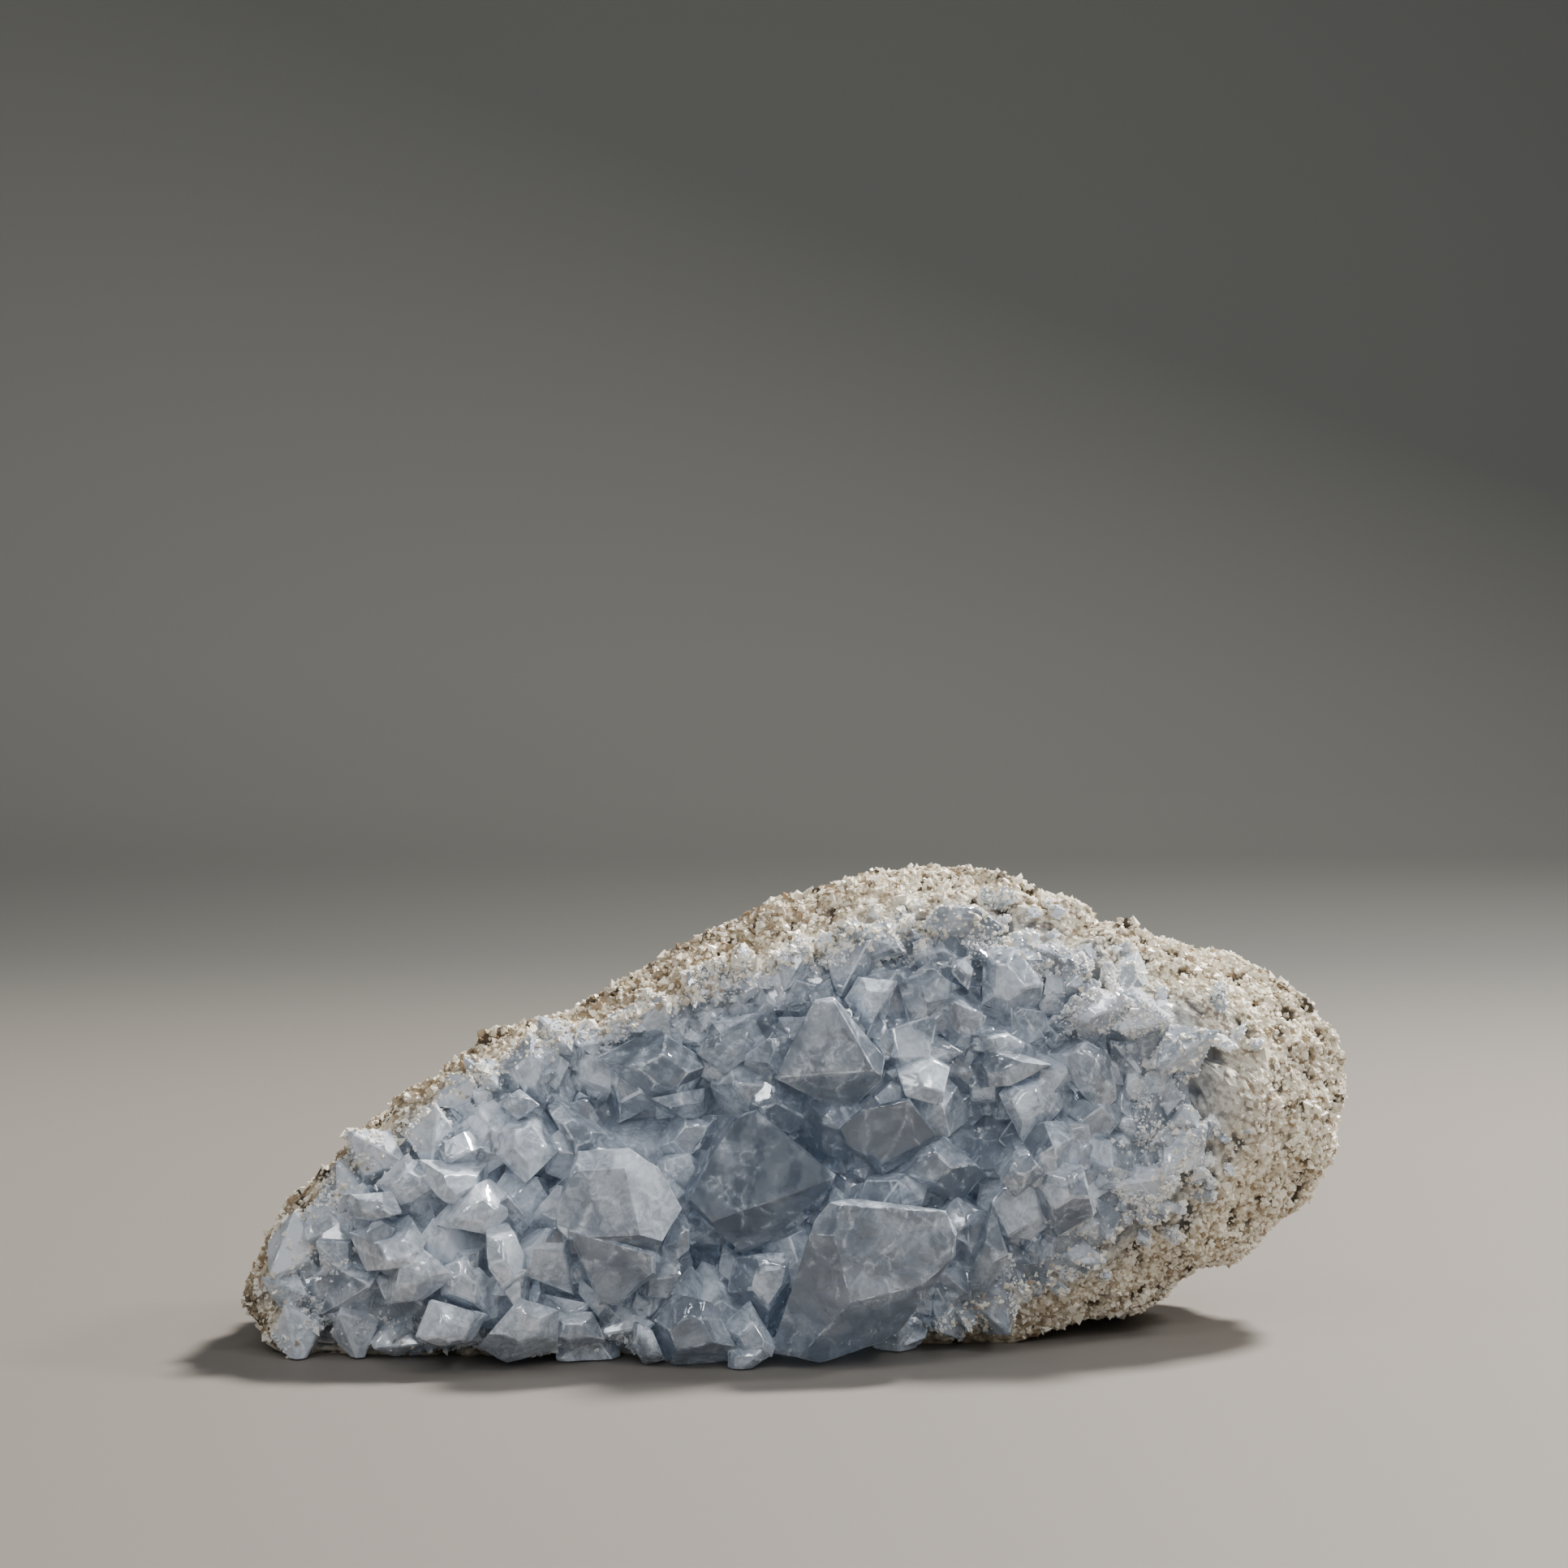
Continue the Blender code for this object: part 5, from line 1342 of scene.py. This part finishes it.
def bent(tree, place, size, reach):
    """A place moved about by noise, so that what is drawn there has no straight lines."""
    waves = node(tree, "ShaderNodeTexNoise", {"Vector": place, "Scale": 1 / size}).outputs["Color"]
    inputs = {0: waves, 1: (reach, reach, reach), 2: place}
    return node(tree, "ShaderNodeVectorMath", inputs, operation="MULTIPLY_ADD").outputs[0]


def parts_sum(tree, parts):
    """The sum of (value, weight) parts, held at 1."""
    total = 0.0
    for value, weight in parts:
        total = sums(tree, "ADD", sums(tree, "MULTIPLY", value, weight), total)
    return sums(tree, "MINIMUM", total, 1.0)


def bumped(tree, shader, heights):
    """Bumps on a shader, from (height, strength, distance in millimetres) each."""
    inputs = {}
    for height, strength, distance in heights:
        inputs.update({"Strength": strength, "Distance": distance * MM, "Height": height})
        inputs["Normal"] = node(tree, "ShaderNodeBump", inputs).outputs[0]
    fill(shader, {"Normal": inputs["Normal"]})


def rock_material(settings):
    """Granular limy rock: tan, painted shade in dark brown in its pits, cream on its high spots that is
    partly painted highlight, white along the crystals.
    """
    made, tree, shader, _ = material("rough_rock")
    place = place_in_mm(tree)
    grain = sums(tree, "SUBTRACT", cells_of(tree, place, size=0.9), GRIT_LEVEL)
    height = sums(tree, "SUBTRACT", attribute(tree, "proud"), grain)
    # Painted shade and highlight: the grit's low spots turn the dark pit colour and its high spots cream.
    low = steps(tree, height, low=-1.2, high=-0.2)
    high = steps(tree, height, low=0.0, high=0.7)
    patches = steps(tree, noise_of(tree, place, size=14, detail=4), low=0.42, high=0.62)
    white = sums(tree, "MAXIMUM", attribute(tree, "white"), sums(tree, "MULTIPLY", patches, PATCH_WHITENESS))
    shades = steps(tree, noise_of(tree, place, size=5), low=0.35, high=0.65)
    tan = mixed(tree, shades, settings.tan, [value * DARK_TAN for value in settings.tan])
    light = mixed(tree, sums(tree, "MULTIPLY", high, CREAM_HIGHLIGHT_SHARE), tan, settings.cream)
    spots = steps(tree, noise_of(tree, place, size=1.3, rough=0.6), low=0.40, high=0.56)
    pale = mixed(tree, sums(tree, "MULTIPLY", white, spots), light, settings.cream)
    # Painted shade: the dark pit colour goes on the low spots.
    pit_shaded = mixed(tree, low, settings.pit, pale)
    # Painted shade: in the hollow the rock takes the dark hollow colour, darker than its lining, between the
    # crystals.
    colour = mixed(tree, attribute(tree, "hollow"), pit_shaded, settings.hollow)
    fill(shader, {"Base Color": colour, "Roughness": 0.85, "Specular IOR Level": 0.35})
    bumped(tree, shader, [(grain, 0.5, 0.3), (noise_of(tree, place, size=0.35, detail=2), 0.4, 0.12)])
    return made


def grain_material(name, colours, roughness):
    """Grains between a dark and a light colour, each with its own tone."""
    made, tree, shader, _ = material(name)
    place = place_in_mm(tree)
    waves = sums(tree, "SUBTRACT", noise_of(tree, place, size=2, detail=2), 0.5)
    tone = sums(tree, "ADD", attribute(tree, "tone"), sums(tree, "MULTIPLY", waves, TONE_WAVES))
    warm = mixed(tree, steps(tree, tone, low=0.0, high=1.0), *colours)
    cool = sums(tree, "MULTIPLY", attribute(tree, "cool"), COOL_SHARE)
    fill(shader, {"Base Color": mixed(tree, cool, warm, COOL_GRAIN), "Roughness": roughness})
    bumped(tree, shader, [(noise_of(tree, place, size=0.3, detail=2), 0.3, 0.08)])
    return made


def crystal_material(settings):
    """See-through pale blue crystal with milky parts, frosted patches and faint growth lines."""
    made, tree, shader, output = material("blue_crystal")
    place = place_in_mm(tree)
    own = attribute(tree, "milk")
    clouds = noise_of(tree, place, size=6, detail=4, rough=0.6, distortion=0.6)
    cloud = steps(tree, clouds, low=0.40, high=0.66)
    mottles = noise_of(tree, place, size=2.0, detail=6, rough=0.7, distortion=1.5)
    mottle = steps(tree, mottles, low=0.36, high=0.74)
    veils = cells_of(tree, bent(tree, place, size=4.0, reach=3.0), size=8.0, feature="DISTANCE_TO_EDGE")
    veil = steps(tree, veils, low=0.07, high=0.0)
    # Painted highlight: the worn edges turn milky white in patches, partly frosted wear and partly a painted
    # edge highlight.
    wear_and_highlight = steps(tree, noise_of(tree, place, size=2.6, detail=4, rough=0.65), low=0.45, high=0.66)
    edge = sums(tree, "MULTIPLY", attribute(tree, "edge"), wear_and_highlight)
    mottled = sums(tree, "MULTIPLY", mottle, sums(tree, "ADD", own, MOTTLE_LEAST))
    veiled = sums(tree, "MULTIPLY", veil, mottle)
    milk = parts_sum(tree, [(own, 0.6), (cloud, 0.25), (mottled, 0.38), (veiled, 0.35), (edge, 0.5)])
    fill(shader, {
        "Base Color": mixed(tree, milk, settings.blue, settings.milk),
        "Transmission Weight": steps(tree, milk, low=0.0, high=1.0, start=0.90, end=0.14),
        "Roughness": steps(tree, milk, low=0.1, high=1.0, start=0.03, end=0.15),
        "IOR": settings.ior, "Specular IOR Level": 0.8, "Coat Weight": 0.6, "Coat Roughness": 0.03})
    bumped(tree, shader, [(noise_of(tree, place, size=3.5, detail=2), 0.2, 0.5),
                          (noise_of(tree, place, size=0.7), 0.12, 0.12)])
    absorption = {"Color": (*settings.absorbed, 1.0), "Density": settings.density}
    fill(output, {"Volume": node(tree, "ShaderNodeVolumeAbsorption", absorption).outputs[0]})
    return made


def kept(piece, slot, *nodes):
    """Fasten a piece to the specimen and hide the solids it stands for; slot, its finish, is not used."""
    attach(piece, "root")
    if nodes:
        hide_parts(*nodes)


class CELESTITE_OT_rock(Operator):
    """Build the rough rock with all its relief"""

    bl_idname = "celestite.rock"
    bl_label = "Rough Rock"

    def execute(self, context):
        settings = context.scene.celestite_rock
        shape = rock_surface(settings.cuts, settings.grit_height / MM)
        keep_below(shape, Vector((0, 0, 0)), Vector((0, 0, -1)))
        rock = new_object("rough_rock", shape)
        rock.data.materials.append(rock_material(settings))
        kept(rock, "rough_rock", "matrix")
        return {"FINISHED"}


class CELESTITE_OT_crystals(Operator):
    """Grow the blue crystals and the crust they stand on"""

    bl_idname = "celestite.crystals"
    bl_label = "Blue Crystals"

    def execute(self, context):
        settings = context.scene.celestite_crystals
        tools = new_collection("crystal_tools")
        for shape in crystal_shapes(settings) + small_crystals(settings):
            new_object("tool", shape, tools)
        crust = new_object("blue_crystals", with_value(crust_shape(), "milk", CRUST_MILK))
        cutters = new_collection("cutters")
        new_object("rock_tool", grown(matrix_shape(), -HIDDEN_ROOT), cutters)
        middle = Vector((0, 0, FLOOR_CLEARANCE - CUTTER_SIZE / 2))
        new_object("floor_tool", convex_block([], middle, CUTTER_SIZE / 2), cutters)
        joined(crust, tools, cutters)
        drop(tools)
        drop(cutters)
        etched(crust.data)
        crust.data.materials.clear()
        crust.data.materials.append(crystal_material(settings))
        kept(crust, "blue_crystal", "crystal_crust")
        return {"FINISHED"}


class CELESTITE_OT_grains(Operator):
    """Sow grains on the rind and white sugar along the crystals"""

    bl_idname = "celestite.grains"
    bl_label = "Grains"

    def execute(self, context):
        settings = context.scene.celestite_grains
        rng = np.random.default_rng(SEED)
        crust = triangles_of(bpy.data.objects["blue_crystals"].data)
        middles = crust[0][crust[1]].mean(axis=1) / MM + np.array(ORIGIN)
        places = np.array([crust_place(Vector(middle)) for middle in middles]).T
        self.rind(settings, rng, crust, places)
        self.sugar(settings, rng, crust, places)
        return {"FINISHED"}

    def rind(self, settings, rng, crust, places):
        """Tan and cream grains that stand on the rind and reach over the crust's edge."""
        mesh = bpy.data.objects["rough_rock"].data
        spots, triangles = triangles_of(mesh)
        rim, white, hollow = (values_of(mesh, name) for name in ("rim", "white", "hollow"))
        weights = rim[triangles].mean(axis=1) ** 2 * above(RIND_LOWEST, spots, triangles)
        points, picked = spread_over(spots, triangles, weights, settings.rind_count, rng)
        inward, pale, grainy, proud, _ = places
        weights = ramp(*RIM_INWARD, inward) * ramp(*RIM_PROUD, proud) * grainy
        more, there = spread_over(*crust, weights, settings.rim_count, rng)
        first = triangles[picked, 0]
        whiteness = np.concatenate([white[first], pale[there] + RIM_WHITENESS])
        cool = np.concatenate([hollow[first], np.full(len(more), RIM_COOLNESS)])
        points = np.concatenate([points, more])
        sizes = settings.rind_size * np.exp(rng.normal(0, RIND_SPREAD, len(points)))
        tones = np.clip(whiteness * WHITE_TONE + rng.normal(*RIND_TONES, len(points)), 0, 1)
        grains = scattered("rind_grains", points, sizes, {"tone": tones, "cool": cool}, rng)
        grains.data.materials.append(grain_material("rind_grain", RIND_COLOURS, roughness=0.35))
        kept(grains, "rough_rock")

    def sugar(self, settings, rng, crust, places):
        """White grains on the outer part of the crust, but not on the tips that stand proud of it."""
        inward, pale, _, proud, patch = places
        weights = ramp(*SUGAR_INWARD, inward) * (SUGAR_BETWEEN + patch) * (SUGAR_ON_TAN + pale)
        weights = weights * ramp(*SUGAR_PROUD, proud) * above(SUGAR_LOWEST, *crust)
        points, _ = spread_over(*crust, weights, settings.sugar_count, rng)
        sizes = settings.sugar_size * np.exp(rng.normal(0, SUGAR_SPREAD, len(points)))
        tones = np.clip(rng.normal(*SUGAR_TONES, len(points)), 0, 1)
        grains = scattered("white_sugar", points, sizes, {"tone": tones}, rng)
        grains.data.materials.append(grain_material("white_sugar", SUGAR_COLOURS, roughness=0.3))
        kept(grains, "blue_crystal")


class CELESTITE_OT_stage(Operator):
    """Set up the floor, the backdrop, the lights and the camera"""

    bl_idname = "celestite.stage"
    bl_label = "Stage"

    def execute(self, context):
        settings = context.scene.celestite_stage
        self.floor(settings)
        self.lights(settings)
        context.scene.world = self.world(settings)
        context.scene.camera = self.camera()
        return {"FINISHED"}

    def floor(self, settings):
        """A wide floor that fades into its shade behind the specimen and into the backdrop far off."""
        bm = bmesh.new()
        bmesh.ops.create_grid(bm, x_segments=FLOOR_CUTS, y_segments=FLOOR_CUTS, size=FLOOR_REACH)
        for vert in bm.verts:
            rise = max(0.0, vert.co.y - SWEEP_START)
            vert.co.z = SWEEP_RISE * rise * rise
        mesh = mesh_of("floor", bm)
        mesh.shade_smooth()
        floor = placed("floor", mesh)
        made, tree, shader, _ = material("floor")
        place = tree.nodes.new("ShaderNodeTexCoord").outputs["Object"]
        behind = node(tree, "ShaderNodeSeparateXYZ", {0: place}).outputs["Y"]
        near = mixed(tree, steps(tree, behind, *SHADE_FADE), settings.floor, settings.shade)
        far = mixed(tree, steps(tree, behind, *BACKDROP_FADE), near, settings.wall)
        fill(shader, {"Base Color": far, "Roughness": FLOOR_ROUGHNESS})
        mesh.materials.append(made)

    def lights(self, settings):
        """A main light from the right and behind, a low wide one in front, and small ones that glint."""
        rows = [("key", KEY_PLACE, KEY_SIZE, settings.key_power, KEY_COLOUR),
                ("front", FRONT_PLACE, FRONT_SIZE, settings.front_power, FILL_COLOUR)]
        for index, (turn, tilt, share) in enumerate(GLINTS):
            place = face_normal(turn, tilt) * GLINT_DISTANCE
            rows.append((f"glint_{index}", place, GLINT_SIZE, settings.glint_power * share, FILL_COLOUR))
        for name, place, size, power, colour in rows:
            lamp = bpy.data.lights.new(name, "AREA")
            lamp.size = size
            lamp.energy = power
            lamp.color = colour
            light = placed(name, lamp)
            light.location = place
            light.rotation_euler = (LIGHTS_AIM - place).to_track_quat("-Z", "Y").to_euler()

    def world(self, settings):
        """A faint light from all round."""
        world = bpy.data.worlds.new("studio")
        world.use_nodes = True
        fill(world.node_tree.nodes["Background"],
             {"Color": (*FILL_COLOUR, 1.0), "Strength": settings.fill_strength})
        return world

    def camera(self):
        """The photograph's point of view."""
        lens = bpy.data.cameras.new("camera")
        lens.lens = CAMERA_LENS
        lens.sensor_width = CAMERA_SENSOR
        lens.clip_start = CAMERA_NEAR
        camera = placed("camera", lens)
        camera.location = (EYE - ORIGIN) * MM
        camera.rotation_euler = (math.radians(90 - CAMERA_PITCH), 0, 0)
        return camera


class CELESTITE_PT_panel(Panel):
    """The specimen's settings and operators"""

    bl_label = "Celestite Specimen"
    bl_idname = "CELESTITE_PT_panel"
    bl_space_type = "VIEW_3D"
    bl_region_type = "UI"
    bl_category = "Celestite"

    def draw(self, context):
        for name, group, operator in STEPS:
            box = self.layout.box()
            settings = getattr(context.scene, name)
            for key in group.__annotations__:
                box.prop(settings, key)
            box.operator(operator.bl_idname)


STEPS = [
    ("celestite_rock", RockSettings, CELESTITE_OT_rock),
    ("celestite_crystals", CrystalSettings, CELESTITE_OT_crystals),
    ("celestite_grains", GrainSettings, CELESTITE_OT_grains),
    ("celestite_stage", StageSettings, CELESTITE_OT_stage),
]


def register():
    """Register the settings, the operators and the panel."""
    for name, group, operator in STEPS:
        bpy.utils.register_class(group)
        bpy.utils.register_class(operator)
        setattr(bpy.types.Scene, name, PointerProperty(type=group))
    bpy.utils.register_class(CELESTITE_PT_panel)


def unregister():
    """Take back what register has done."""
    bpy.utils.unregister_class(CELESTITE_PT_panel)
    for name, group, operator in reversed(STEPS):
        delattr(bpy.types.Scene, name)
        bpy.utils.unregister_class(operator)
        bpy.utils.unregister_class(group)


def main():
    """Build the specimen and its stage."""
    register()
    bpy.ops.celestite.rock()
    bpy.ops.celestite.crystals()
    bpy.ops.celestite.grains()
    bpy.ops.celestite.stage()


if __name__ == "__main__":
    main()
